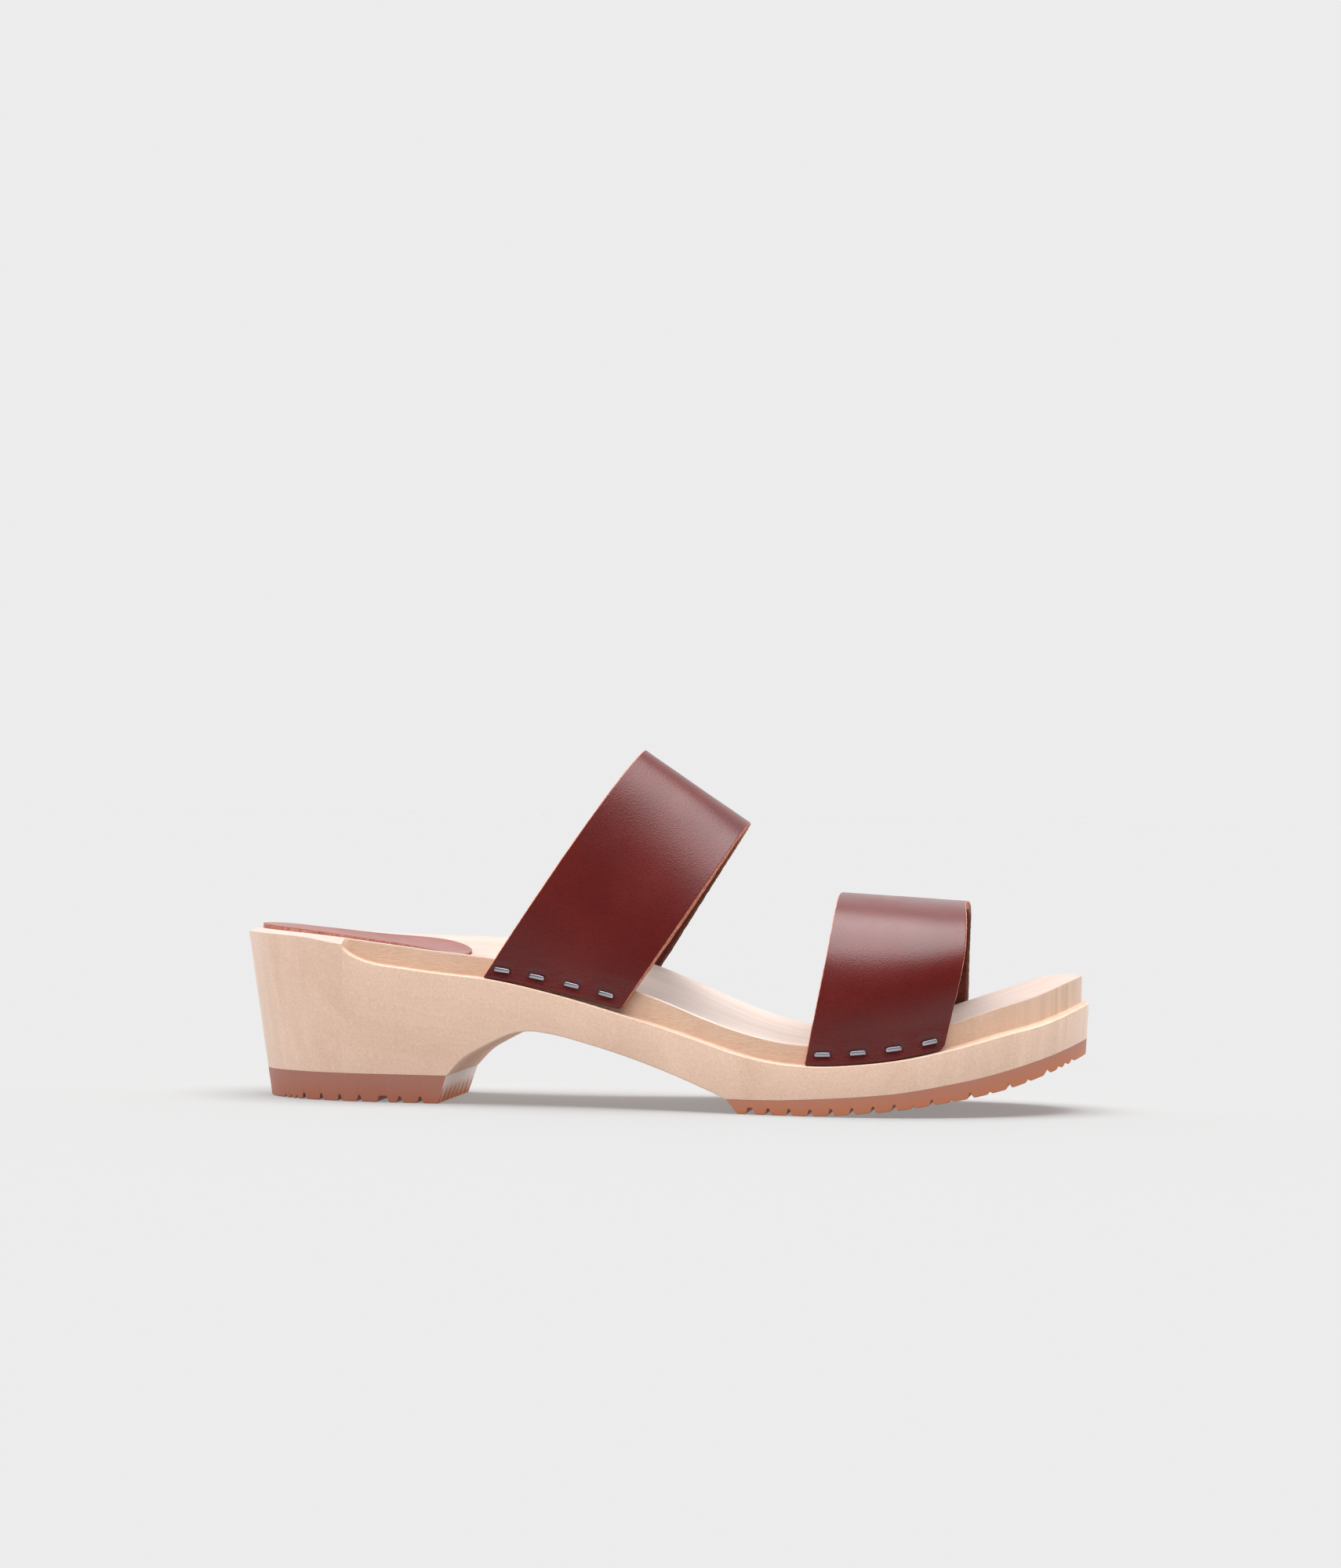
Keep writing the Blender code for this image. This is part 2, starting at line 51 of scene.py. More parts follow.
LATERAL = -1
MEDIAL = 1
SIDES = (LATERAL, MEDIAL)
SIDE_NAMES = {LATERAL: "lateral", MEDIAL: "medial"}
SEAT_GAP = 0.3
SLOPE_STEP = 0.01
MERGE_DISTANCE = 0.001
SHARP_EDGE = math.radians(50)

# Sole outline, as in the part
SOLE_LENGTH = 248.0
HEEL_ROUND = 38.0
TOE_ROUND = {LATERAL: 73.0, MEDIAL: 58.0}
TOE_POWER = {LATERAL: 2.0, MEDIAL: 2.2}
OUTLINE_COLUMNS = ("x", "centre", "lateral", "medial", "draft")
OUTLINE = (
    (0.0, 0.0, 32.0, 32.0, 0.16),
    (40.0, 0.0, 32.5, 32.5, 0.12),
    (70.0, 0.0, 32.5, 31.0, 0.11),
    (100.0, 0.0, 33.2, 29.5, 0.10),
    (130.0, 0.0, 37.0, 33.5, 0.10),
    (160.0, 0.2, 43.2, 40.0, 0.09),
    (180.0, 0.6, 45.3, 42.0, 0.09),
    (200.0, 1.6, 46.0, 41.5, 0.08),
    (225.0, 4.8, 46.0, 40.5, 0.06),
    (248.0, 7.5, 46.0, 40.0, 0.05),
)

# Top of the sole, as in the part
TOP_COLUMNS = ("x", "rim", "rise", "dish", "rebate", "ledge")
TOP = (
    (0.0, 49.4, 0.0, 0.0, 6.0, 3.6),
    (7.0, 49.2, 0.0, 0.2, 6.0, 3.6),
    (20.0, 48.6, 0.0, 1.8, 6.0, 3.6),
    (34.0, 47.5, 0.2, 2.7, 6.2, 3.6),
    (46.0, 46.1, 1.2, 3.0, 6.3, 3.6),
    (60.0, 44.4, 2.8, 3.2, 6.3, 3.6),
    (77.0, 42.6, 4.2, 3.4, 6.2, 3.6),
    (98.0, 39.0, 4.9, 3.4, 7.0, 3.6),
    (117.0, 34.8, 4.9, 3.1, 7.9, 3.6),
    (128.0, 31.1, 4.4, 2.8, 7.3, 3.6),
    (139.0, 26.8, 3.7, 2.6, 6.4, 3.6),
    (150.0, 23.3, 2.9, 2.5, 6.3, 3.6),
    (160.0, 21.1, 2.1, 2.4, 6.1, 3.6),
    (171.0, 20.1, 1.8, 2.4, 5.9, 3.6),
    (185.0, 20.6, 2.3, 2.2, 5.7, 3.7),
    (198.0, 22.8, 3.1, 2.0, 6.2, 3.9),
    (211.0, 26.5, 3.8, 1.6, 7.0, 4.3),
    (225.0, 31.0, 4.0, 1.1, 7.6, 4.5),
    (238.0, 35.2, 3.8, 0.7, 8.1, 3.8),
    (248.0, 40.0, 0.0, 0.3, 8.2, 2.2),
)
DISH_POWER = 2.2
HEEL_EDGE_DROP = 1.0
THUMB_START = 20.0
THUMB_DROP = 1.9
REBATE_START = 33.7
REBATE_RUN = 12.3
LEDGE_RUN = 2.4
RIM_MARGIN = 0.9

# Underside of the wood, as in the part
HEEL_SEAT = 8.2
BREAST_X = 64.5
ARCH_X = 92.0
BALL_X = 146.5
TOE_X = 205.0
UNDER_COLUMNS = ("x", "height")
ARCH = (
    (64.5, 8.2),
    (69.2, 13.2),
    (73.5, 15.9),
    (78.0, 18.3),
    (83.0, 20.6),
    (88.0, 21.6),
    (95.0, 21.0),
    (104.0, 18.9),
    (122.0, 13.6),
    (132.0, 10.0),
    (146.5, 4.1),
)
FOREFOOT = (
    (146.5, 4.1),
    (163.5, 4.4),
    (172.0, 4.9),
    (187.0, 6.0),
    (195.0, 6.8),
    (208.0, 9.0),
    (221.0, 11.8),
    (231.5, 14.9),
    (240.0, 17.9),
    (248.0, 21.4),
)

# Rounding of the wood's edges, and how finely it is cut into sections along each run
WOOD_ROUND = {"foot": 0.45, "ledge": 0.4, "corner": 0.5, "rim": 0.7}
RUN_SECTIONS = {"heel": 56, "run_out": 44, "seat": 18, "breast": 60, "arch": 44, "ball": 56, "toe": 80}
UNDER_STEPS = 4
FOOTBED_STEPS = 40
STATIONS_APART = 0.02
ROUND_STEPS = 4
ROUND_SHARE = 0.45
RIM_STEPS = 2
FOOT_ROUND_RUN = 3.0
FOOT_ROUND_LEAST = 0.1
OUTLINE_SAMPLES = 400

# Rubber treads, as in the part, with the curve of their lugs' corners and grooves that lean under the toe
TREAD_THICKNESS = 4.6
TREAD_EXTRA = {200.0: 0.0, 228.0: 0.5, 248.0: -0.4}
HEEL_FRONT_SLANT = 2.6
FOREFOOT_REAR_SLANT = 3.6
GROOVE_COLUMNS = ("first", "pitch", "count", "mouth", "root", "depth", "behind")
HEEL_GROOVES = (
    (10.1, 2.55, 3, 2.2, 0.2, 0.9, 0.5),
    (18.4, 6.8, 4, 2.4, 0.7, 1.8, 0.5),
    (45.8, 6.0, 1, 4.2, 2.4, 1.8, 0.5),
    (50.8, 6.0, 2, 2.4, 0.7, 1.8, 0.5),
)
FOREFOOT_GROOVES = (
    (153.8, 6.0, 1, 3.4, 1.6, 1.8, 0.5),
    (159.1, 6.04, 7, 2.4, 0.7, 1.8, 0.5),
    (200.5, 10.8, 4, 1.8, 0.3, 0.7, 0.35),
    (205.7, 10.8, 4, 2.3, 0.5, 1.6, 0.3),
    (240.7, 2.0, 3, 1.8, 0.2, 0.8, 0.4),
)
LUG_CURVE = 2.2
LUG_SOFTNESS = 0.1
LUG_STEP = 0.13
LUG_SAMPLES = 5
GROOVE_MARGIN = 1.6
TREAD_GAP = 0.02
TREAD_ROUND = 0.35
TREAD_SECTIONS = {"heel": 60, "ball": 40, "toe": 70}

# Heel pad, as in the part but seated closer
PAD_THICKNESS = (1.4, 0.75)
PAD_GAP = 0.05
PAD_BACK = 4.2
PAD_MARGIN = {LATERAL: 6.0, MEDIAL: 10.5}
PAD_NOSE_X = 66.0
PAD_NOSE_ROUND = 22.0
PAD_NOSE_POWER = 2.4
PAD_STEPS = 36
PAD_SECTIONS = {"back": 40, "middle": 16, "nose": 60}
PAD_ROUND = {"top": 0.5, "base": 0.2}
PAD_FUZZ = ((0.9, 0.09), (3.1, 0.09))
PAD_FUZZ_FADE = 4

# Straps, as in the part but seated closer, with the rounding of their lower corners
STRAP_THICKNESS = 2.4
STRAP_GAP = 0.05
STRAP_RISER = 8.0
BOW_FADE = 1.2
STRAPS = {
    "instep": {
        "foot": (74.9, 115.4),
        "medial_shift": (0.0, 0.1),
        "raised": (0.0, 1.1),
        "crown_x": (117.3, 148.6),
        "crown_z": (103.6, 82.4),
        "lateral_bow": (-1.25, 1.25),
        "medial_bow": (-1.75, -1.9),
        "arch_power": 2.0,
        "staple_first": 0.097,
        "staple_step": 0.25,
        "staple_height": 2.8,
        "rear_corner": 0.5,
        "front_corner": 1.2,
    },
    "toe": {
        "foot": (169.3, 209.2),
        "medial_shift": (2.0, 2.0),
        "raised": (0.0, 0.3),
        "crown_x": (175.4, 212.5),
        "crown_z": (62.7, 60.6),
        "lateral_bow": (2.5, 5.5),
        "medial_bow": (-0.25, -0.75),
        "arch_power": 2.4,
        "staple_first": 0.115,
        "staple_step": 0.255,
        "staple_height": 3.3,
        "rear_corner": 0.5,
        "front_corner": 1.2,
    },
}
STRAP_WIDTH = 38.0
STRAP_WIDTH_STEPS = 60
STRAP_RISER_STEPS = 18
STRAP_ARCH_STEPS = 150
STRAP_ROUND = {"grain": 0.4, "flesh": 0.3, "foot": 0.4}
STRAP_WAVE = ((0.022, 0.20), (0.075, 0.08))
STRAP_FUZZ = ((2.3, 0.14), (0.6, 0.08))
STRAP_FUZZ_TURN = (0.15, math.pi - 0.3)
EDGE_SHARES = (0.25, 0.5, 0.75)
BURNISHED_STEPS = 2
FLESH_PUSH = 0.5
FLESH_FADE_STEPS = 3

# Staples, as in the part, and how they pull the leather in
STAPLES_PER_END = 4
STAPLE_CROWN = 4.8
STAPLE_WIRE = 0.7
STAPLE_FLAT = 1.2
STAPLE_LEG = 6.0
STAPLE_SEATING = 0.62
STAPLE_BEVEL = 0.22
STAPLE_BEND = {"outer": 0.9, "inner": 0.4}
CREASE_REACH = 7.0
DIMPLE_DEPTH = 0.55
DIMPLE_HALF = 1.9
DIMPLE_REACH = (1.1, 1.4)
DIMPLE_LIMIT = 12.0

# Where the looks change along the shoe, in the frame's metres
# Stretch of the footbed given painted light, lighter there to offset the straps' shadow
PAINTED_LIGHT_ARCH = {"rise": (-0.055, -0.015), "fall": (0.012, 0.05)}
END_GRAIN = (0.098, 0.114)
TORN_FADE = (0.075, 0.1)
RIM_BLEND = 0.0004
# Place across the shoe where the cut edges change to their painted shade on the medial side
FAR_SIDE = (0.0, 0.025)
RIB_PITCH = 0.0075

# Camera, found from the photograph: turn, tilt and roll in degrees, distance, and focal length in pixels
CAMERA_AZIMUTH = 7.0
CAMERA_ELEVATION = -0.3
CAMERA_ROLL = 0.95
CAMERA_DISTANCE = 1300.0
CAMERA_TARGET = (124.77, 0.0, 93.63)
CAMERA_FOCAL_PIXELS = 5644.03
CAMERA_CLIP = 100.0
IMAGE_LONG_SIDE = 2000
SENSOR_WIDTH = 36.0

# Studio light: brightness of the surroundings by the sine of the elevation, with a pale backdrop behind
# the shoe and a dimmer room in front, and broad lamps that only fill
SURROUND_STRENGTH = 6.0
SURROUND = {
    "front": ((0.0, 0.30), (0.17, 0.28), (0.30, 0.06), (0.80, 0.06), (0.92, 6.0), (1.0, 6.0)),
    "back": ((0.0, 0.84), (0.21, 0.84), (0.64, 0.90), (0.80, 0.45), (0.92, 6.0), (1.0, 6.0)),
}
BACKDROP_BLEND = 0.3
LAMP_COLUMNS = ("azimuth", "elevation", "strength", "spread")
LAMPS = {
    "lamp_front": (0.0, 52.0, 1.38, 60.0),
    "lamp_left": (-55.0, 30.0, 0.8, 50.0),
    "lamp_right": (75.0, 25.0, 0.3, 50.0),
}
FLOOR_HALF = 40.0
FLOOR_SEGMENTS = 8
FLOOR_GREY = 0.3166
FLOOR_GLOW = 0.25


def column(table, names, name):
    """A smooth curve through one column of a table, over its x column."""
    rows = np.array(table)
    x = rows[:, names.index("x")]
    value = rows[:, names.index(name)]
    slope = np.gradient(value, x)

    def curve(at):
        at = min(max(at, x[0]), x[-1])
        i = min(int(np.searchsorted(x, at, side="right")) - 1, len(x) - 2)
        span = x[i + 1] - x[i]
        t = (at - x[i]) / span
        start = (1 + 2 * t) * (1 - t) ** 2 * value[i] + t * (1 - t) ** 2 * span * slope[i]
        end = t * t * (3 - 2 * t) * value[i + 1] + t * t * (t - 1) * span * slope[i + 1]
        return float(start + end)

    return curve


centre_y = column(OUTLINE, OUTLINE_COLUMNS, "centre")
half_width = {side: column(OUTLINE, OUTLINE_COLUMNS, SIDE_NAMES[side]) for side in SIDES}
wall_draft = column(OUTLINE, OUTLINE_COLUMNS, "draft")
lateral_rim = column(TOP, TOP_COLUMNS, "rim")
medial_rise = column(TOP, TOP_COLUMNS, "rise")
dish_depth = column(TOP, TOP_COLUMNS, "dish")
rebate_depth = column(TOP, TOP_COLUMNS, "rebate")
ledge_width = column(TOP, TOP_COLUMNS, "ledge")
arch_height = column(ARCH, UNDER_COLUMNS, "height")
forefoot_height = column(FOREFOOT, UNDER_COLUMNS, "height")


def mix(a, b, t):
    return a + (b - a) * t


def closing(distance, length, power=2.0):
    """Share of the full width at a distance from an end that closes in a rounded curve."""
    short = min(max(1 - distance / length, 0), 1)
    return (1 - short**power) ** (1 / power)


def quarter_round(x, start, run):
    """0 before the start, then up a quarter ellipse to 1 after the run."""
    short = min(max(1 - (x - start) / run, 0), 1)
    return math.sqrt(1 - short**2)


def side_y(x, side):
    toe = closing(SOLE_LENGTH - x, TOE_ROUND[side], TOE_POWER[side])
    return centre_y(x) + side * half_width[side](x) * closing(x, HEEL_ROUND) * toe


def inset(x, side, distance):
    """Plan point at a station, moved in from the outline by a distance square to it."""
    if x <= 0:
        return np.array((distance, side_y(0, side)))
    if x >= SOLE_LENGTH:
        return np.array((SOLE_LENGTH - distance, side_y(SOLE_LENGTH, side)))
    step = min(SLOPE_STEP, x / 2, (SOLE_LENGTH - x) / 2)
    slope = (side_y(x + step, side) - side_y(x - step, side)) / (2 * step)
    outward = side * np.array((-slope, 1)) / math.hypot(slope, 1)
    return np.array((x, side_y(x, side))) - outward * distance


def rim_height(x, side):
    return lateral_rim(x) + (medial_rise(x) if side == MEDIAL else 0)


def edge_height(x, side):
    """Top of the outer wall: just under the rim round the heel, then down to the strap ledge."""
    thumb = min(max((x - THUMB_START) / (REBATE_START - THUMB_START), 0), 1)
    heel_drop = mix(HEEL_EDGE_DROP, THUMB_DROP, thumb**2 * (3 - 2 * thumb))
    drop = mix(heel_drop, rebate_depth(x), quarter_round(x, REBATE_START, REBATE_RUN))
    return rim_height(x, side) - drop


def wall_point(x, side, z):
    """Point on the outer wall, which leans in on its way down."""
    return np.array((*inset(x, side, wall_draft(x) * (edge_height(x, side) - z)), z))


def underside(x):
    if x <= BREAST_X:
        return HEEL_SEAT
    return arch_height(x) if x <= BALL_X else forefoot_height(x)


def footbed_height(x, y):
    """Height of the footbed at a plan point: level with the rims at its sides, dished between them."""
    margin = ledge_width(x) + RIM_MARGIN
    lateral = side_y(x, LATERAL) + margin
    medial = side_y(x, MEDIAL) - margin
    across = min(max((y - lateral) / max(medial - lateral, margin), 0), 1)
    dished = dish_depth(x) * (1 - abs(2 * across - 1) ** DISH_POWER)
    return mix(rim_height(x, LATERAL), rim_height(x, MEDIAL), across) - dished


y_reach = [[side_y(x, side) for x in np.linspace(0, SOLE_LENGTH, OUTLINE_SAMPLES)] for side in SIDES]
FRAME_ORIGIN = np.array((SOLE_LENGTH / 2, (min(y_reach[0]) + max(y_reach[1])) / 2, 0))


def to_frame(point):
    return Vector((np.array(point) - FRAME_ORIGIN) * MM)


def eased(start, end, count):
    """Stations that crowd together at the start, for a round end."""
    return [mix(start, end, 1 - math.cos(t)) for t in np.linspace(0, math.pi / 2, count)]


def merged(*runs, apart=STATIONS_APART):
    """All stations of several runs in order, without near repeats; the first and last always stay."""
    every = sorted(float(x) for run in runs for x in run)
    kept = every[:1]
    for x in every:
        if x - kept[-1] > apart and every[-1] - x > apart:
            kept.append(x)
    return kept + every[-1:]


def unit(vectors):
    length = np.linalg.norm(vectors, axis=-1, keepdims=True)
    return vectors / np.maximum(length, 1e-9)


def fine_noise(point, table):
    """Smooth unevenness at a point in millimetres, from rows of frequency and size."""
    return sum(size * noise.noise(Vector(point) * frequency) for frequency, size in table)


def rounded(before, corner, after, reach):
    """Points that round off a corner, starting and ending a reach away from it where there is room."""
    to_before = before - corner
    to_after = after - corner
    room = min(reach, ROUND_SHARE * np.linalg.norm(to_before), ROUND_SHARE * np.linalg.norm(to_after))
    start = corner + unit(to_before) * room
    end = corner + unit(to_after) * room
    return [
        (1 - t) ** 2 * start + 2 * t * (1 - t) * corner + t * t * end
        for t in np.linspace(0, 1, ROUND_STEPS + 1)
    ]


def loft(name, sections, finish_of, materials, ends=(False, False), marks=()):
    """Object with a skin over closed sections.

    finish_of gives the material number of a face from its place round the section. marks has a number for
    each point of each section, for the materials.
    """
    bm = bmesh.new()
    layer = bm.verts.layers.float.new(MARK)
    rings = [[bm.verts.new(to_frame(point)) for point in section] for section in sections]
    for ring, row in zip(rings, marks):
        for vert, mark in zip(ring, row):
            vert[layer] = mark
    count = len(rings[0])
    for here, there in zip(rings, rings[1:]):
        for i in range(count):
            face = bm.faces.new((here[i - 1], here[i], there[i], there[i - 1]))
            face.material_index = finish_of(i)
    for ring, closed in zip((rings[0], rings[-1]), ends):
        if closed:
            bm.faces.new(ring).material_index = len(materials) - 1
    bmesh.ops.remove_doubles(bm, verts=bm.verts, dist=MERGE_DISTANCE * MM)
    bmesh.ops.recalc_face_normals(bm, faces=bm.faces)
    mesh = bpy.data.meshes.new(name)
    bm.to_mesh(mesh)
    bm.free()
    mesh.shade_smooth()
    mesh.set_sharp_from_angle(angle=SHARP_EDGE)
    return add_piece(name, mesh, materials)


def add_piece(name, mesh, materials):
    for material in materials:
        mesh.materials.append(material)
    piece = bpy.data.objects.new(name, mesh)
    bpy.context.scene.collection.objects.link(piece)
    return piece


def stand_for(piece, node):
    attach(piece, "root")
    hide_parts(node)


# Materials


def srgb(red, green, blue):
    """Scene colour of a picture colour given as 0 to 255."""
    shares = [value / 255 for value in (red, green, blue)]
    return [s / 12.92 if s <= 0.04045 else ((s + 0.055) / 1.055) ** 2.4 for s in shares]


class Recipe:
    """A material that is put together from nodes, on the object's own coordinates."""

    def __init__(self, name, **values):
        self.material = bpy.data.materials.new(name)
        self.material.use_nodes = True
        self.tree = self.material.node_tree
        self.shader = self.tree.nodes["Principled BSDF"]
        self.place = self.add("ShaderNodeTexCoord").outputs["Object"]
        for key, value in values.items():
            self.feed(self.shader, key.replace("_", " "), value)

    def add(self, kind, **settings):
        node = self.tree.nodes.new(kind)
        for key, value in settings.items():
            setattr(node, key, value)
        return node

    def feed(self, node, socket, value):
        """Links a socket, or sets its value."""
        if isinstance(value, bpy.types.NodeSocket):
            self.tree.links.new(value, node.inputs[socket])
        elif node.inputs[socket].type == "RGBA":
            node.inputs[socket].default_value = (*value, 1)
        else:
            node.inputs[socket].default_value = value

    def stretched(self, x, y, z):
        node = self.add("ShaderNodeMapping")
        self.feed(node, "Vector", self.place)
        self.feed(node, "Scale", (x, y, z))
        return node.outputs["Vector"]

    def noise(self, scale, detail=2.0, vector=None, roughness=0.5, distortion=0.0):
        node = self.add("ShaderNodeTexNoise")
        self.feed(node, "Vector", vector or self.place)
        self.feed(node, "Scale", scale)
        self.feed(node, "Detail", detail)
        self.feed(node, "Roughness", roughness)
        self.feed(node, "Distortion", distortion)
        return node.outputs["Fac"]

    def cells(self, scale, vector=None):
        node = self.add("ShaderNodeTexVoronoi", feature="SMOOTH_F1")
        self.feed(node, "Vector", vector or self.place)
        self.feed(node, "Scale", scale)
        return node.outputs["Distance"]

    def waves(self, axis, pitch):
        """Even waves along an axis, from 0 to 1, a pitch apart in metres."""
        node = self.add("ShaderNodeTexWave", bands_direction=axis)
        self.feed(node, "Vector", self.place)
        self.feed(node, "Scale", WAVE_AT_SCALE_1 / pitch)
        return node.outputs["Fac"]

    def ranged(self, value, low, high, to_low=0.0, to_high=1.0):
        node = self.add("ShaderNodeMapRange")
        for socket, number in (
            ("Value", value), ("From Min", low), ("From Max", high), ("To Min", to_low), ("To Max", to_high)
        ):
            self.feed(node, socket, number)
        return node.outputs["Result"]

    def sum(self, first, second, share=1.0):
        """First plus a share of the second."""
        node = self.add("ShaderNodeMath", operation="MULTIPLY_ADD")
        for socket, value in zip((0, 1, 2), (second, share, first)):
            self.feed(node, socket, value)
        return node.outputs["Value"]

    def product(self, first, second):
        node = self.add("ShaderNodeMath", operation="MULTIPLY")
        self.feed(node, 0, first)
        self.feed(node, 1, second)
        return node.outputs["Value"]

    def blend(self, share, first, second):
        node = self.add("ShaderNodeMix", data_type="RGBA")
        for socket, value in ((0, share), (6, first), (7, second)):
            self.feed(node, socket, value)
        return node.outputs[2]

    def place_along(self, axis):
        """Place along an axis of the shoe in metres: X runs to the toe and Y to the medial side."""
        node = self.add("ShaderNodeSeparateXYZ")
        self.feed(node, 0, self.place)
        return node.outputs[axis]

    def mark(self):
        """The number that the piece's mesh has at each point."""
        return self.add("ShaderNodeAttribute", attribute_name=MARK).outputs["Fac"]

    def relief(self, height, depth, strength=1.0, under=None):
        node = self.add("ShaderNodeBump")
        self.feed(node, "Height", height)
        self.feed(node, "Distance", depth * MM)
        self.feed(node, "Strength", strength)
        if under:
            self.feed(node, "Normal", under)
        return node.outputs["Normal"]

    def done(self, colour, roughness=None, normal=None):
        self.feed(self.shader, "Base Color", colour)
        if roughness is not None:
            self.feed(self.shader, "Roughness", roughness)
        if normal is not None:
            self.feed(self.shader, "Normal", normal)
        return self.material


def grain_leather(name, deep, warm, gloss):
    """Smooth waxed leather: fine pebbled grain, cloudy dye and a soft gloss."""
    recipe = Recipe(name, Coat_Weight=0.52, Coat_Roughness=0.26, Coat_IOR=1.55, Specular_IOR_Level=0.2)
    clouds = recipe.noise(55, 3, distortion=0.4)
    dye = recipe.blend(recipe.ranged(clouds, 0.35, 0.68), deep, warm)
    pebbles = recipe.cells(2700, recipe.stretched(0.75, 1.0, 1.0))
    pores = recipe.noise(4200, 2)
    grain = recipe.sum(pebbles, pores, 0.6)
    wrinkles = recipe.noise(1.0, 3, recipe.stretched(260, 500, 900), 0.6, 1.2)
    fine = recipe.relief(grain, 0.05, 0.6)
    bumps = recipe.relief(recipe.product(wrinkles, recipe.mark()), 0.45, 0.5, fine)
    shine = recipe.ranged(recipe.noise(140, 3), 0.3, 0.7, gloss - 0.04, gloss + 0.05)
    dotted = recipe.blend(recipe.ranged(pebbles, 0.30, 0.62, 0.0, 0.35), dye, [0.55 * c for c in deep])
    recipe.feed(recipe.shader, "Coat Normal", bumps)
    return recipe.done(dotted, shine, bumps)


def raw_leather(name, dark, light, scale, far_painted_shade=1.0):
    """Cut edge or flesh side of leather: matt fibres, with painted shade on the medial side: darker there by
    a factor.
    """
    recipe = Recipe(name, Roughness=0.9)
    fibres = recipe.noise(scale, 4, roughness=0.65, distortion=0.6)
    tufts = recipe.noise(scale * 0.22, 2)
    both = recipe.sum(fibres, tufts, 0.5)
    tone = recipe.ranged(both, 0.55, 0.95)
    near = recipe.blend(tone, dark, light)
    # Painted shade: the medial side's colours are scaled down, as that side lies in shadow.
    shaded_far = recipe.blend(tone, [far_painted_shade * c for c in dark], [far_painted_shade * c for c in light])
    colour = recipe.blend(recipe.ranged(recipe.place_along("Y"), *FAR_SIDE), near, shaded_far)
    return recipe.done(colour, None, recipe.relief(both, 0.22, 0.7))


def sanded_wood(name, light, dark, fuzz, relief, painted_light=0.0):
    """Pale carved wood: growth bands along the shoe, fine fibres and sanded fuzz; painted light at the arch
    against the straps' shadow.
    """
    recipe = Recipe(name, Roughness=0.62, Sheen_Weight=0.3, Sheen_Roughness=0.6)
    bands = recipe.noise(1.0, 4, recipe.stretched(7, 300, 34), 0.55, 0.5)
    fibres = recipe.noise(1.0, 3, recipe.stretched(90, 1500, 1500), 0.6)
    speckle = recipe.noise(1700, 3, roughness=0.65)
    blotches = recipe.noise(38, 3)
    tone = recipe.sum(recipe.sum(recipe.sum(bands, blotches, 0.5), fibres, 0.25), speckle, fuzz)
    # Painted light: the footbed is made lighter over the arch, where the straps' shadow falls.
    arch = recipe.product(
        recipe.ranged(recipe.place_along("X"), *PAINTED_LIGHT_ARCH["rise"]),
        recipe.ranged(recipe.place_along("X"), *PAINTED_LIGHT_ARCH["fall"], 1.0, 0.0),
    )
    tone = recipe.sum(tone, arch, painted_light)
    middle = 0.5 * (1.75 + fuzz + painted_light)
    colour = recipe.blend(recipe.ranged(tone, middle - 0.45, middle + 0.45), dark, light)
    nap = recipe.sum(speckle, fibres, 0.4)
    return recipe.done(colour, None, recipe.relief(nap, 0.06, relief))


def milled_wood(name, light, dark, rim):
    """Cut face of the ledge or the arch: fibres torn by the cutter, and upright end grain at the toe.

    Behind the ledge, the rim round the heel has a colour of its own.
    """
    recipe = Recipe(name, Roughness=0.75, Sheen_Weight=0.3, Sheen_Roughness=0.6)
    strokes = recipe.noise(1.0, 4, recipe.stretched(380, 1200, 1700), 0.6, 1.2)
    bands = recipe.noise(1.0, 3, recipe.stretched(60, 320, 30), 0.5, 0.3)
    along = recipe.blend(recipe.ranged(recipe.sum(strokes, bands, 0.8), 0.5, 1.3), dark, light)
    stripes = recipe.noise(1.0, 3, recipe.stretched(520, 520, 14), 0.6)
    across = recipe.blend(recipe.ranged(stripes, 0.2, 0.7), dark, light)
    colour = recipe.blend(recipe.ranged(recipe.place_along("X"), *END_GRAIN), along, across)
    ledge_x = to_frame((REBATE_START, 0, 0)).x
    colour = recipe.blend(recipe.ranged(recipe.place_along("X"), ledge_x - RIM_BLEND, ledge_x), rim, colour)
    torn = recipe.product(strokes, recipe.ranged(recipe.place_along("X"), *TORN_FADE, 1.0, 0.2))
    return recipe.done(colour, None, recipe.relief(torn, 0.2, 0.7))


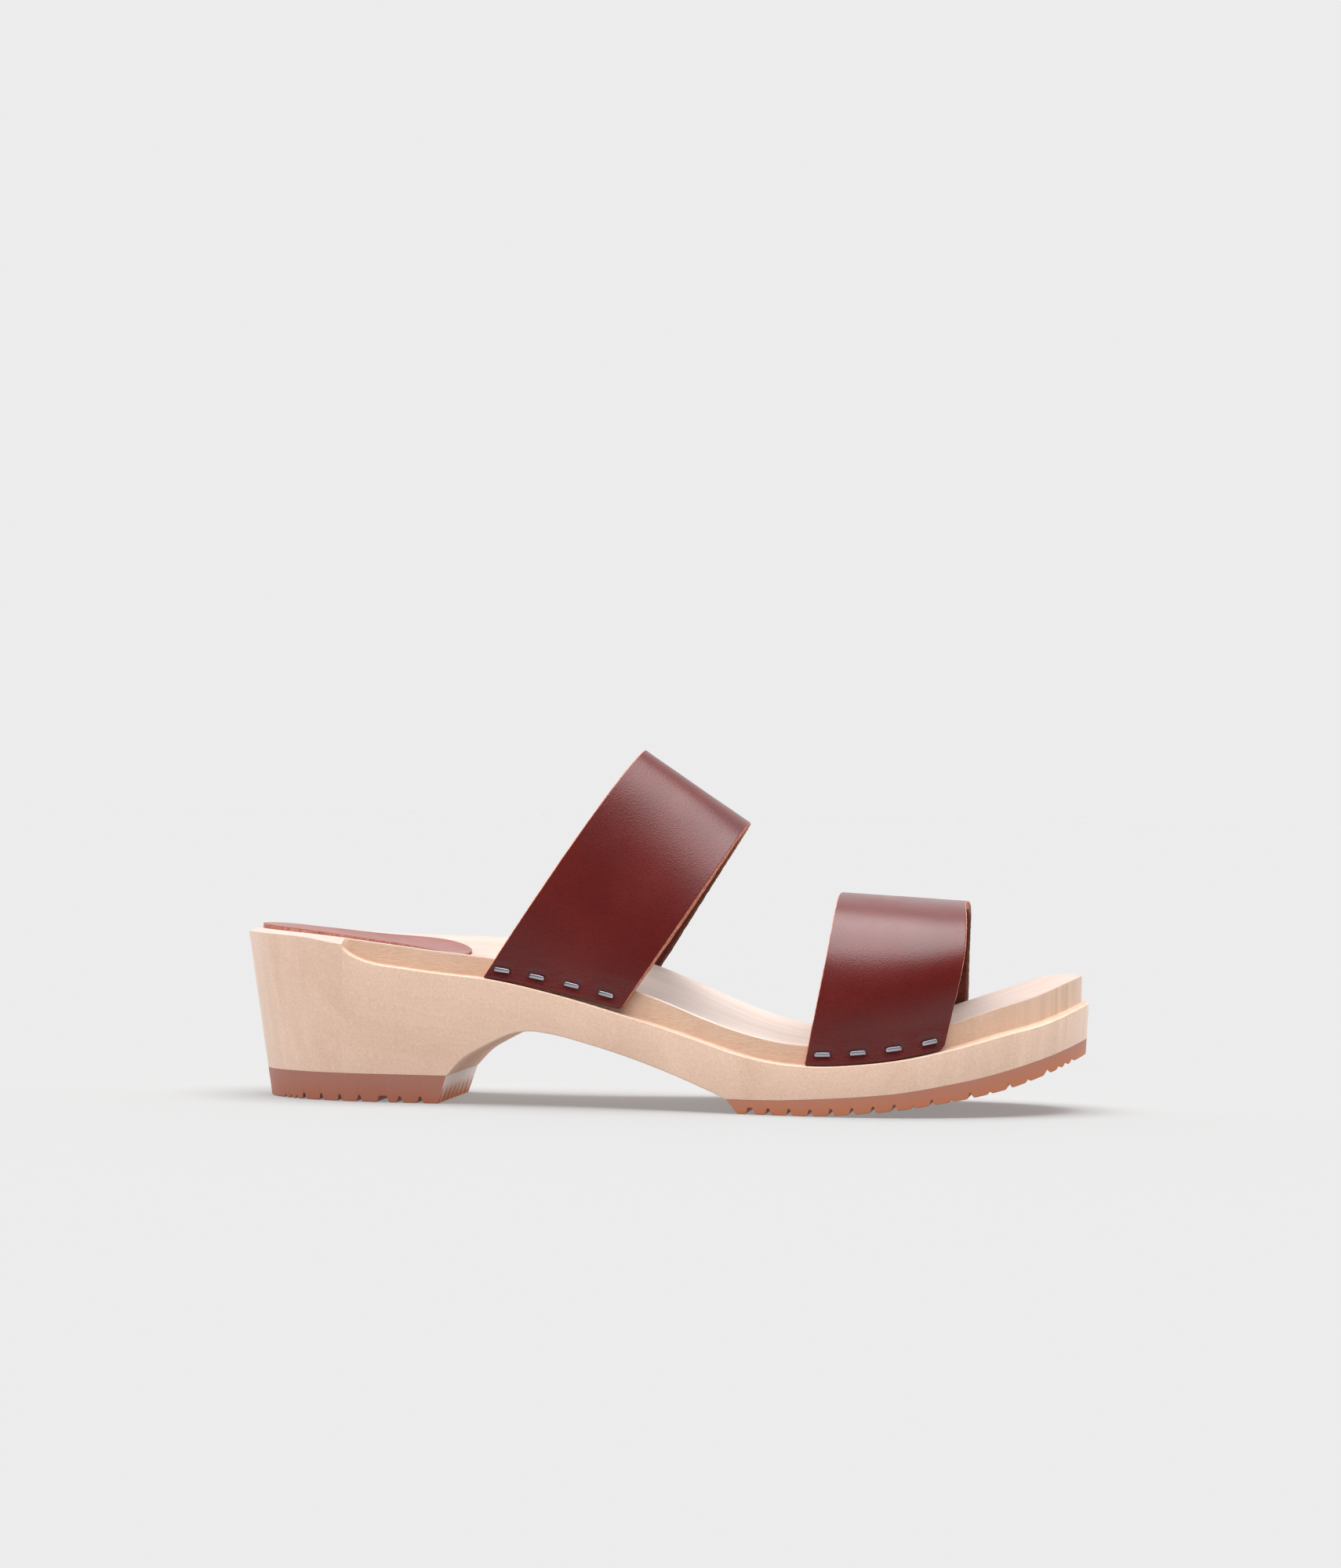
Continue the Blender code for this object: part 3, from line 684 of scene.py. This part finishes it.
def gum_rubber(name, wall, lug, ribbed=0.0):
    """Translucent gum rubber: pinkish wall, more orange towards the lugs, with upright grooves if ribbed, cut
    in by bump and darkened with painted shade.
    """
    recipe = Recipe(
        name,
        Roughness=0.5,
        Subsurface_Weight=0.35,
        Subsurface_Radius=(0.0035, 0.0014, 0.0007),
        Subsurface_Scale=1.0,
    )
    low = recipe.ranged(recipe.mark(), 0.3, 0.9)
    cloud = recipe.noise(160, 3)
    share = recipe.sum(low, recipe.ranged(cloud, 0.3, 0.7, -0.12, 0.12))
    colour = recipe.blend(share, wall, lug)
    grooves = recipe.product(recipe.ranged(recipe.waves("Y", RIB_PITCH), 0.6, 1.0), ribbed)
    grooves = recipe.product(grooves, recipe.ranged(recipe.mark(), 0.4, 0.6))
    # Painted shade: the grooves are darkened to 0.4 of the lug colour, where shade falls in them.
    colour = recipe.blend(grooves, colour, [0.4 * c for c in lug])
    dust = recipe.noise(2600, 3)
    shine = recipe.ranged(cloud, 0.3, 0.7, 0.46, 0.58)
    cut = recipe.relief(grooves, -0.8, 0.8)
    return recipe.done(colour, shine, recipe.relief(dust, 0.03, 0.5, cut))


def drawn_steel(name):
    recipe = Recipe(name, Metallic=1.0)
    drawn = recipe.noise(1.0, 3, recipe.stretched(500, 2600, 2600))
    colour = recipe.blend(drawn, srgb(158, 158, 168), srgb(188, 188, 198))
    shine = recipe.ranged(drawn, 0.3, 0.7, 0.16, 0.24)
    return recipe.done(colour, shine, recipe.relief(drawn, 0.004, 0.5))


# Pieces


def foot_round(x):
    """Rounding of the wood's lower edge, which stays sharp where rubber meets it."""
    bare = min(x - BREAST_X, BALL_X - x) / FOOT_ROUND_RUN
    return WOOD_ROUND["foot"] * min(max(bare, FOOT_ROUND_LEAST), 1)


def sole_section(x):
    """Closed section of the wood with its edges rounded, always with the same number of points."""
    feet = {side: wall_point(x, side, underside(x)) for side in SIDES}
    entry = quarter_round(x, REBATE_START, LEDGE_RUN)
    width = ledge_width(x)
    plan = [inset(x, side, width + RIM_MARGIN) for side in SIDES]
    spots = [mix(*plan, t) for t in np.linspace(0, 1, FOOTBED_STEPS + 1)]
    bed = [np.array((*spot, footbed_height(*spot))) for spot in spots[RIM_STEPS:-RIM_STEPS]]

    def climb(side, nearest):
        edge = edge_height(x, side)
        foot = feet[side]
        lip = np.array((*inset(x, side, 0), edge))
        corner = np.array((*inset(x, side, width * entry), edge))
        rim = np.array((*inset(x, side, width), rim_height(x, side)))
        return (
            rounded(feet[-side], foot, lip, foot_round(x))
            + rounded(foot, lip, corner, WOOD_ROUND["ledge"])
            + rounded(lip, corner, rim, WOOD_ROUND["corner"])
            + rounded(corner, rim, nearest, WOOD_ROUND["rim"])
        )

    under = [mix(feet[MEDIAL], feet[LATERAL], t) for t in np.linspace(0, 1, UNDER_STEPS + 1)[1:-1]]
    return climb(LATERAL, bed[0]) + bed + climb(MEDIAL, bed[-1])[::-1] + under


def sole_finish(i):
    """0 for the outer wall, 1 for the footbed, 2 for the milled ledge, 3 for the underside."""
    per_corner = ROUND_STEPS + 1
    climb = 4 * per_corner
    bed = FOOTBED_STEPS + 1 - 2 * RIM_STEPS
    if i == 0 or i >= 2 * climb + bed:
        return 3
    j = i if i < climb else 2 * climb + bed - i
    if climb <= i < climb + bed or j > 3 * per_corner + 1:
        return 1
    return 2 if j > 2 * per_corner - 2 else 0


def make_sole(materials):
    rebate_end = REBATE_START + REBATE_RUN
    stations = merged(
        eased(0, REBATE_START, RUN_SECTIONS["heel"]),
        eased(REBATE_START, rebate_end, RUN_SECTIONS["run_out"]),
        np.linspace(rebate_end, BREAST_X, RUN_SECTIONS["seat"]),
        np.linspace(BREAST_X, ARCH_X, RUN_SECTIONS["breast"]),
        np.linspace(ARCH_X, BALL_X, RUN_SECTIONS["arch"]),
        np.linspace(BALL_X, TOE_X, RUN_SECTIONS["ball"]),
        eased(SOLE_LENGTH, TOE_X, RUN_SECTIONS["toe"]),
    )
    piece = loft("sole_wood", [sole_section(x) for x in stations], sole_finish, materials)
    stand_for(piece, "wood_sole")


def groove_places(rows, low):
    """Middle of each groove, half its root, its reach behind and ahead of the middle, and its depth."""
    places = []
    for row in rows:
        groove = dict(zip(GROOVE_COLUMNS, row))
        lip = groove["mouth"] / 2
        x = groove["first"]
        for _ in range(groove["count"]):
            behind = groove["mouth"] * groove["behind"]
            places.append((x, groove["root"] / 2, behind, groove["mouth"] - behind, groove["depth"]))
            slope = (low(x + lip) - low(x - lip)) / (2 * lip)
            x += groove["pitch"] / math.hypot(1, slope)
    return np.array(places).T


def groove_depth(x, places):
    """Depth of the grooves at a station: steep at the root, easing out into the lugs."""
    middle, root, behind, ahead, depth = places
    reach = np.where(x < middle, behind, ahead)
    out = np.clip((np.abs(x - middle) - root) / (reach - root), 0, 1)
    return float(np.max(depth * (1 - out) ** LUG_CURVE))


def heel_low(x):
    return 0.0


def forefoot_low(x):
    extra = float(np.interp(x, list(TREAD_EXTRA), list(TREAD_EXTRA.values())))
    return max(0.0, underside(max(x, BALL_X)) - SEAT_GAP - TREAD_THICKNESS - extra)


def make_tread(name, node, reach, low, grooves, slants, stations, ends, materials):
    places = groove_places(grooves, low)
    first = places[0, 0] - GROOVE_MARGIN
    last = places[0, -1] + GROOVE_MARGIN
    every = merged(np.arange(first, last, LUG_STEP), stations)
    offsets = np.linspace(-LUG_SOFTNESS, LUG_SOFTNESS, LUG_SAMPLES)
    slant_x = (reach[0], min(first, reach[1]), max(last, first), reach[1])
    slant_by = (reach[0] + slants[0], slant_x[1], slant_x[2], reach[1] + slants[1])
    sections = []
    for x in every:
        foot_x = float(np.interp(x, slant_x, slant_by)) if any(slants) else x
        depth = float(np.mean([groove_depth(foot_x + offset, places) for offset in offsets]))
        tops = [wall_point(x, side, underside(x) - TREAD_GAP) for side in SIDES]
        feet = [wall_point(foot_x, side, low(foot_x) + depth) for side in SIDES]
        sections.append(
            [tops[0]]
            + rounded(tops[0], feet[0], feet[1], TREAD_ROUND)
            + rounded(feet[0], feet[1], tops[1], TREAD_ROUND)
            + [tops[1]]
        )
    marks = [[0] + [1] * (len(section) - 2) + [0] for section in sections]
    piece = loft(name, sections, lambda i: 0, materials, ends, marks)
    stand_for(piece, node)


def make_treads(materials):
    heel_stations = eased(0, HEEL_ROUND, TREAD_SECTIONS["heel"]) + [BREAST_X]
    make_tread(
        "tread_heel", "heel_rubber", (0, BREAST_X), heel_low, HEEL_GROOVES, (0, -HEEL_FRONT_SLANT),
        heel_stations, (False, True), materials["heel"],
    )
    fore_stations = merged(
        np.linspace(BALL_X, TOE_X, TREAD_SECTIONS["ball"]), eased(SOLE_LENGTH, TOE_X, TREAD_SECTIONS["toe"])
    )
    make_tread(
        "tread_forefoot", "forefoot_rubber", (BALL_X, SOLE_LENGTH), forefoot_low, FOREFOOT_GROOVES,
        (FOREFOOT_REAR_SLANT, 0), fore_stations, (True, False), materials["forefoot"],
    )


def pad_section(x):
    """Section of the pad, inside the footbed's rim and rounded off at the nose."""
    nose = closing(PAD_NOSE_X - x, PAD_NOSE_ROUND, PAD_NOSE_POWER)
    heel = closing(x - PAD_BACK, HEEL_ROUND - PAD_BACK)
    edges = [side * (half_width[side](x) - PAD_MARGIN[side]) * heel * nose for side in SIDES]
    row = [np.array((x, y, footbed_height(x, y) + PAD_GAP)) for y in np.linspace(*edges, PAD_STEPS + 1)]
    lift = np.array((0, 0, mix(*PAD_THICKNESS, (x - PAD_BACK) / (PAD_NOSE_X - PAD_BACK))))
    base = [row[0], row[-1]]
    for side, point in zip(SIDES, base):
        point[1] += side * fine_noise(point, PAD_FUZZ) * min(heel * nose * PAD_FUZZ_FADE, 1)
    tops = [point + lift for point in base]
    return (
        rounded(row[1], base[0], tops[0], PAD_ROUND["base"])
        + rounded(base[0], tops[0], row[1] + lift, PAD_ROUND["top"])
        + [point + lift for point in row[1:-1]]
        + rounded(row[-2] + lift, tops[1], base[1], PAD_ROUND["top"])
        + rounded(tops[1], base[1], row[-2], PAD_ROUND["base"])
        + row[-2:0:-1]
    )


def pad_finish(i):
    per_corner = ROUND_STEPS + 1
    top_start = per_corner + 2
    top_end = 2 * per_corner + PAD_STEPS - 1 + per_corner - 2
    return 0 if top_start <= i <= top_end else 1


def make_pad(materials):
    nose_start = PAD_NOSE_X - PAD_NOSE_ROUND
    stations = merged(
        eased(PAD_BACK, HEEL_ROUND, PAD_SECTIONS["back"]),
        np.linspace(HEEL_ROUND, nose_start, PAD_SECTIONS["middle"]),
        eased(PAD_NOSE_X, nose_start, PAD_SECTIONS["nose"]),
    )
    piece = loft("pad_heel", [pad_section(x) for x in stations], pad_finish, materials)
    stand_for(piece, "heel_pad")


def strap_point(strap, along, across, riser, lift):
    """Point on a strap's outer face.

    along runs from the rear edge, 0, to the front edge, 1, and across from the lateral foot, -1, to the
    medial foot, 1. riser is the share climbed of the upright foot, and lift that of the arch over it.
    """
    at = {key: mix(*pair, along) for key, pair in STRAPS[strap].items() if isinstance(pair, tuple)}
    side_share = (across + 1) / 2
    bow = mix(at["lateral_bow"], at["medial_bow"], side_share)
    feet_x = {LATERAL: at["foot"], MEDIAL: at["foot"] + at["medial_shift"]}
    feet_z = [edge_height(x, side) + STRAP_GAP + at["raised"] for side, x in feet_x.items()]
    height = at["crown_z"] - sum(feet_z) / 2
    reach = at["crown_x"] - mix(*feet_x.values(), side_share)

    def forward(rise):
        return (reach + bow * abs(across) ** BOW_FADE) * rise

    def foot_point(side):
        station = feet_x[side] + forward(climb)
        return inset(station, side, ledge_width(station) - SEAT_GAP - STRAP_THICKNESS)

    climb = STRAP_RISER * riser / height
    rise = climb + (1 - STRAP_RISER / height) * lift
    x, y = mix(foot_point(LATERAL), foot_point(MEDIAL), side_share)
    return np.array((x + forward(rise) - forward(climb), y, mix(*feet_z, side_share) + height * rise))


def staple_axes(strap, side, along):
    """Point on the strap's outer face, and directions along its lower edge, into the shoe and up."""
    riser = STRAPS[strap]["staple_height"] / STRAP_RISER
    here = strap_point(strap, along, side, riser, 0)
    forward = unit(strap_point(strap, along + SLOPE_STEP, side, riser, 0) - here)
    up = strap_point(strap, along, side, riser + SLOPE_STEP, 0) - here
    inward = unit(np.cross(up, forward))
    if inward[1] * side > 0:
        inward = -inward
    return here, forward, inward, np.cross(forward, inward)


def staple_places(strap):
    """Side, number and axes of every staple of a strap."""
    first, step = STRAPS[strap]["staple_first"], STRAPS[strap]["staple_step"]
    numbers = range(STAPLES_PER_END)
    return [(side, i, staple_axes(strap, side, first + i * step)) for side in SIDES for i in numbers]


def corner_start(strap, along):
    """Share of the riser that the rounded lower corners take away at a place along the strap."""
    cut = 0.0
    for name, distance in (("rear_corner", along), ("front_corner", 1 - along)):
        radius = STRAPS[strap][name]
        short = max(radius - distance * STRAP_WIDTH, 0)
        cut = max(cut, radius - math.sqrt(radius**2 - short**2))
    return cut / STRAP_RISER


def strap_faces(strap):
    """Grids of points over the grain and flesh sides, with the directions out of the face and forward."""
    risers = np.linspace(0, 1, STRAP_RISER_STEPS + 1)
    turns = np.linspace(0, math.pi, STRAP_ARCH_STEPS + 1)[1:-1]
    bend = 2 / STRAPS[strap]["arch_power"]
    places = [(LATERAL, riser, 0) for riser in risers]
    for t in turns:
        places.append((math.copysign(abs(math.cos(t)) ** bend, -math.cos(t)), 1, math.sin(t) ** bend))
    places += [(MEDIAL, riser, 0) for riser in risers[::-1]]
    rows = []
    for along in np.linspace(0, 1, STRAP_WIDTH_STEPS + 1):
        start = corner_start(strap, along)
        rows.append([strap_point(strap, along, at, mix(start, 1, riser), lift) for at, riser, lift in places])
    grain = np.array(rows)
    ahead = np.gradient(grain, axis=0)
    out = unit(np.cross(ahead, np.gradient(grain, axis=1)))
    ahead = unit(ahead - np.sum(ahead * out, axis=-1, keepdims=True) * out)
    push = np.array([[fine_noise(point, STRAP_WAVE) for point in row] for row in grain])
    for _, _, (spot, forward, _, up) in staple_places(strap):
        away = grain - spot
        beside = np.maximum(np.abs(away @ forward) - DIMPLE_HALF, 0) / DIMPLE_REACH[0]
        above = (away @ up) / DIMPLE_REACH[1]
        near = np.linalg.norm(away, axis=-1) < DIMPLE_LIMIT
        push -= near * DIMPLE_DEPTH * np.exp(-(beside**2) - above**2)
    flesh = grain - out * STRAP_THICKNESS
    grain = grain + out * push[..., None]
    steps = np.arange(grain.shape[1])
    fade = np.clip(np.minimum(steps, steps[::-1]) / FLESH_FADE_STEPS, 0, 1)
    flesh = flesh + out * (push * FLESH_PUSH * fade)[..., None]
    return grain, flesh, out, ahead


def cut_edge(top, base, out, away):
    """Points round a cut edge from the grain side to the flesh side, with its fibres a little uneven."""
    big, small = STRAP_ROUND["grain"], STRAP_ROUND["flesh"]
    turns = np.linspace(0, math.pi / 2, ROUND_STEPS + 1)
    points = [top - (away + out) * big + big * (out * math.cos(t) + away * math.sin(t)) for t in turns]
    lower = [base + (out - away) * small + small * (away * math.cos(t) - out * math.sin(t)) for t in turns]
    points += [mix(points[-1], lower[0], share) for share in EDGE_SHARES] + lower
    weights = np.sin(np.linspace(*STRAP_FUZZ_TURN, len(points)))
    return [point + away * fine_noise(point, STRAP_FUZZ) * weight for point, weight in zip(points, weights)]


def make_strap(strap, materials):
    grain, flesh, out, ahead = strap_faces(strap)
    middle = grain[STRAP_WIDTH_STEPS // 2]
    end_round = STRAP_ROUND["foot"]
    sections = []
    marks = []
    for j, spot in enumerate(middle):
        near = min(np.linalg.norm(spot - end) for end in (middle[0], middle[-1]))
        pulled = math.exp(-((near / CREASE_REACH) ** 2))
        short = max(end_round - near, 0)
        pinch = end_round - math.sqrt(max(end_round**2 - short**2, 0))
        tops = grain[:, j] - out[:, j] * pinch
        bases = flesh[:, j] + out[:, j] * pinch
        sections.append(
            list(tops[1:-1])
            + cut_edge(tops[-1], bases[-1], out[-1, j], ahead[-1, j])
            + list(bases[-2:0:-1])
            + cut_edge(tops[0], bases[0], out[0, j], -ahead[0, j])[::-1]
        )
        marks.append([pulled] * len(sections[-1]))
    face = STRAP_WIDTH_STEPS - 1
    edge = 2 * (ROUND_STEPS + 1) + len(EDGE_SHARES)

    def finish(i):
        """0 for the grain side and its burnished edges, 1 for the flesh side, 2 for the cut edges."""
        if i < face + BURNISHED_STEPS or i > 2 * (face + edge) - BURNISHED_STEPS:
            return 0
        return 1 if face + edge < i < 2 * face + edge else 2

    piece = loft("leather_" + strap, sections, finish, materials, (True, True), marks)
    stand_for(piece, "strap_" + strap)


def staple_mesh():
    """One staple of flat wire with rounded edges: its crown and two legs in its own plane."""
    half = STAPLE_CROWN / 2
    inner = half - STAPLE_WIRE
    outside = -SEAT_GAP - STAPLE_WIRE
    corners = [
        (-half, STAPLE_LEG, 0),
        (-half, outside, STAPLE_BEND["outer"]),
        (half, outside, STAPLE_BEND["outer"]),
        (half, STAPLE_LEG, 0),
        (inner, STAPLE_LEG, 0),
        (inner, -SEAT_GAP, STAPLE_BEND["inner"]),
        (-inner, -SEAT_GAP, STAPLE_BEND["inner"]),
        (-inner, STAPLE_LEG, 0),
    ]
    outline = []
    for i, (x, y, reach) in enumerate(corners):
        here = np.array((x, y))
        before, after = (np.array(corners[k % len(corners)][:2]) for k in (i - 1, i + 1))
        outline += rounded(before, here, after, reach) if reach else [here]
    curve = bpy.data.curves.new("staple", "CURVE")
    curve.dimensions = "2D"
    curve.fill_mode = "BOTH"
    curve.bevel_depth = STAPLE_BEVEL * MM
    curve.bevel_resolution = 3
    curve.offset = -STAPLE_BEVEL * MM
    curve.extrude = (STAPLE_FLAT / 2 - STAPLE_BEVEL) * MM
    spline = curve.splines.new("POLY")
    spline.points.add(len(outline) - 1)
    for point, (x, y) in zip(spline.points, outline):
        point.co = (x * MM, y * MM, 0, 1)
    spline.use_cyclic_u = True
    shape = bpy.data.objects.new("staple_shape", curve)
    bpy.context.scene.collection.objects.link(shape)
    mesh = bpy.data.meshes.new_from_object(shape.evaluated_get(bpy.context.evaluated_depsgraph_get()))
    bpy.data.objects.remove(shape)
    bpy.data.curves.remove(curve)
    mesh.shade_smooth()
    mesh.set_sharp_from_angle(angle=SHARP_EDGE)
    return mesh


def make_staples(strap, mesh):
    for side, i, (spot, forward, inward, up) in staple_places(strap):
        name = f"{strap}_{SIDE_NAMES[side]}_{i + 1}"
        piece = bpy.data.objects.new("wire_" + name, mesh)
        bpy.context.scene.collection.objects.link(piece)
        turned = Matrix([forward, inward, up]).transposed().to_4x4()
        piece.matrix_world = Matrix.Translation(to_frame(spot + inward * STAPLE_SEATING)) @ turned
        stand_for(piece, "staple_" + name)


# Stage


def make_floor():
    bm = bmesh.new()
    bmesh.ops.create_grid(bm, x_segments=FLOOR_SEGMENTS, y_segments=FLOOR_SEGMENTS, size=FLOOR_HALF)
    mesh = bpy.data.meshes.new("floor")
    bm.to_mesh(mesh)
    bm.free()
    material = bpy.data.materials.new("floor_grey")
    material.use_nodes = True
    shader = material.node_tree.nodes["Principled BSDF"]
    shader.inputs["Base Color"].default_value = (FLOOR_GREY, FLOOR_GREY, FLOOR_GREY, 1)
    shader.inputs["Roughness"].default_value = 1.0
    shader.inputs["Specular IOR Level"].default_value = 0.0
    shader.inputs["Emission Color"].default_value = (1, 1, 1, 1)
    shader.inputs["Emission Strength"].default_value = FLOOR_GLOW
    floor = add_piece("floor", mesh, [material])
    return floor


def make_light(floor):
    """Light from all around, which alone falls on the floor, and the lamps that fill in the shoe."""
    shaded = bpy.data.collections.new("out_of_the_lamps")
    shaded.objects.link(floor)
    shaded.collection_objects[0].light_linking.link_state = "EXCLUDE"
    world = bpy.data.worlds.new("studio")
    bpy.context.scene.world = world
    world.use_nodes = True
    nodes = world.node_tree.nodes
    links = world.node_tree.links
    background = nodes["Background"]
    background.inputs["Strength"].default_value = SURROUND_STRENGTH
    place = nodes.new("ShaderNodeTexCoord")
    split = nodes.new("ShaderNodeSeparateXYZ")
    links.new(place.outputs["Generated"], split.inputs[0])
    behind = nodes.new("ShaderNodeMapRange")
    behind.interpolation_type = "SMOOTHSTEP"
    behind.inputs["From Min"].default_value = -BACKDROP_BLEND
    behind.inputs["From Max"].default_value = BACKDROP_BLEND
    links.new(split.outputs["Y"], behind.inputs["Value"])
    both = nodes.new("ShaderNodeMix")
    both.data_type = "RGBA"
    links.new(behind.outputs["Result"], both.inputs[0])
    for socket, rows in ((6, SURROUND["front"]), (7, SURROUND["back"])):
        ramp = nodes.new("ShaderNodeValToRGB")
        links.new(split.outputs["Z"], ramp.inputs["Fac"])
        links.new(ramp.outputs["Color"], both.inputs[socket])
        stops = ramp.color_ramp.elements
        while len(stops) < len(rows):
            stops.new(0.5)
        for stop, (sine, bright) in zip(stops, rows):
            stop.position = sine
            stop.color = (*[bright / SURROUND_STRENGTH] * 3, 1)
    links.new(both.outputs[2], background.inputs["Color"])
    for name, row in LAMPS.items():
        lamp = dict(zip(LAMP_COLUMNS, row))
        data = bpy.data.lights.new(name, "SUN")
        data.energy = lamp["strength"]
        data.angle = math.radians(lamp["spread"])
        light = bpy.data.objects.new(name, data)
        turn = math.radians(lamp["azimuth"])
        rise = math.radians(lamp["elevation"])
        toward = Vector((math.sin(turn) * math.cos(rise), -math.cos(turn) * math.cos(rise), math.sin(rise)))
        light.rotation_mode = "QUATERNION"
        light.rotation_quaternion = toward.to_track_quat("Z", "Y")
        light.location = toward
        light.visible_glossy = False
        light.light_linking.receiver_collection = shaded
        bpy.context.scene.collection.objects.link(light)


def make_camera():
    turn, rise, roll = (math.radians(a) for a in (CAMERA_AZIMUTH, CAMERA_ELEVATION, CAMERA_ROLL))
    back = Vector((math.sin(turn) * math.cos(rise), -math.cos(turn) * math.cos(rise), math.sin(rise)))
    level = Vector((math.cos(turn), math.sin(turn), 0))
    upright = back.cross(level)
    right = level * math.cos(roll) + upright * math.sin(roll)
    up = upright * math.cos(roll) - level * math.sin(roll)
    data = bpy.data.cameras.new("camera")
    data.sensor_width = SENSOR_WIDTH
    data.lens = SENSOR_WIDTH * CAMERA_FOCAL_PIXELS / IMAGE_LONG_SIDE
    data.clip_end = CAMERA_CLIP
    camera = bpy.data.objects.new("camera", data)
    bpy.context.scene.collection.objects.link(camera)
    place = Matrix((right, up, back)).transposed().to_4x4()
    camera.matrix_world = Matrix.Translation(to_frame(CAMERA_TARGET) + back * CAMERA_DISTANCE * MM) @ place
    bpy.context.scene.camera = camera
    bpy.context.scene.view_settings.view_transform = "Standard"


wall = sanded_wood("wood_wall", srgb(235, 203, 181), srgb(209, 172, 148), fuzz=1.3, relief=0.9)
# The footbed's colours are darker and greyer than the wall's, as painted shade against the strong light from
# above; it is also painted lighter at the arch against the straps' shadow.
bed = sanded_wood("wood_bed", srgb(216, 196, 186), srgb(176, 152, 140), fuzz=0.2, relief=0.25, painted_light=0.8)
heel_rim = srgb(180, 160, 149)
under = milled_wood("wood_under", srgb(238, 190, 158), srgb(218, 166, 132), heel_rim)
milled = milled_wood("wood_milled", srgb(212, 180, 156), srgb(186, 148, 122), heel_rim)
grain = grain_leather("leather_grain", srgb(87, 17, 14), srgb(96, 22, 18), gloss=0.36)
pad_grain = grain_leather("leather_pad", srgb(122, 54, 43), srgb(136, 64, 51), gloss=0.4)
flesh = raw_leather("leather_flesh", srgb(74, 26, 20), srgb(112, 50, 38), scale=900)
pad_edge = raw_leather("leather_pad_edge", srgb(140, 70, 58), srgb(206, 142, 124), scale=2200)
# The cut edges carry painted shade: 0.3 of their colour on the medial side.
raw = raw_leather("leather_raw", srgb(166, 88, 66), srgb(226, 160, 132), scale=2200, far_painted_shade=0.3)
heel_gum = gum_rubber("gum_heel", srgb(166, 110, 96), srgb(172, 106, 84))
# The breast's wall colour is painted light: near white, far lighter than the heel's gum, as its face lies in
# shade under the arch.
breast_gum_painted_light = gum_rubber("gum_breast_painted_light", srgb(252, 236, 230), srgb(218, 122, 48), ribbed=0.7)
fore_gum = gum_rubber("gum_forefoot", srgb(182, 120, 98), srgb(190, 118, 84))
steel = drawn_steel("staple_wire")

make_sole([wall, bed, milled, under])
make_treads({"heel": [heel_gum, breast_gum_painted_light], "forefoot": [fore_gum]})
make_pad([pad_grain, pad_edge])
staple = staple_mesh()
staple.materials.append(steel)
for strap_name in STRAPS:
    make_strap(strap_name, [grain, flesh, raw])
    make_staples(strap_name, staple)
make_light(make_floor())
make_camera()
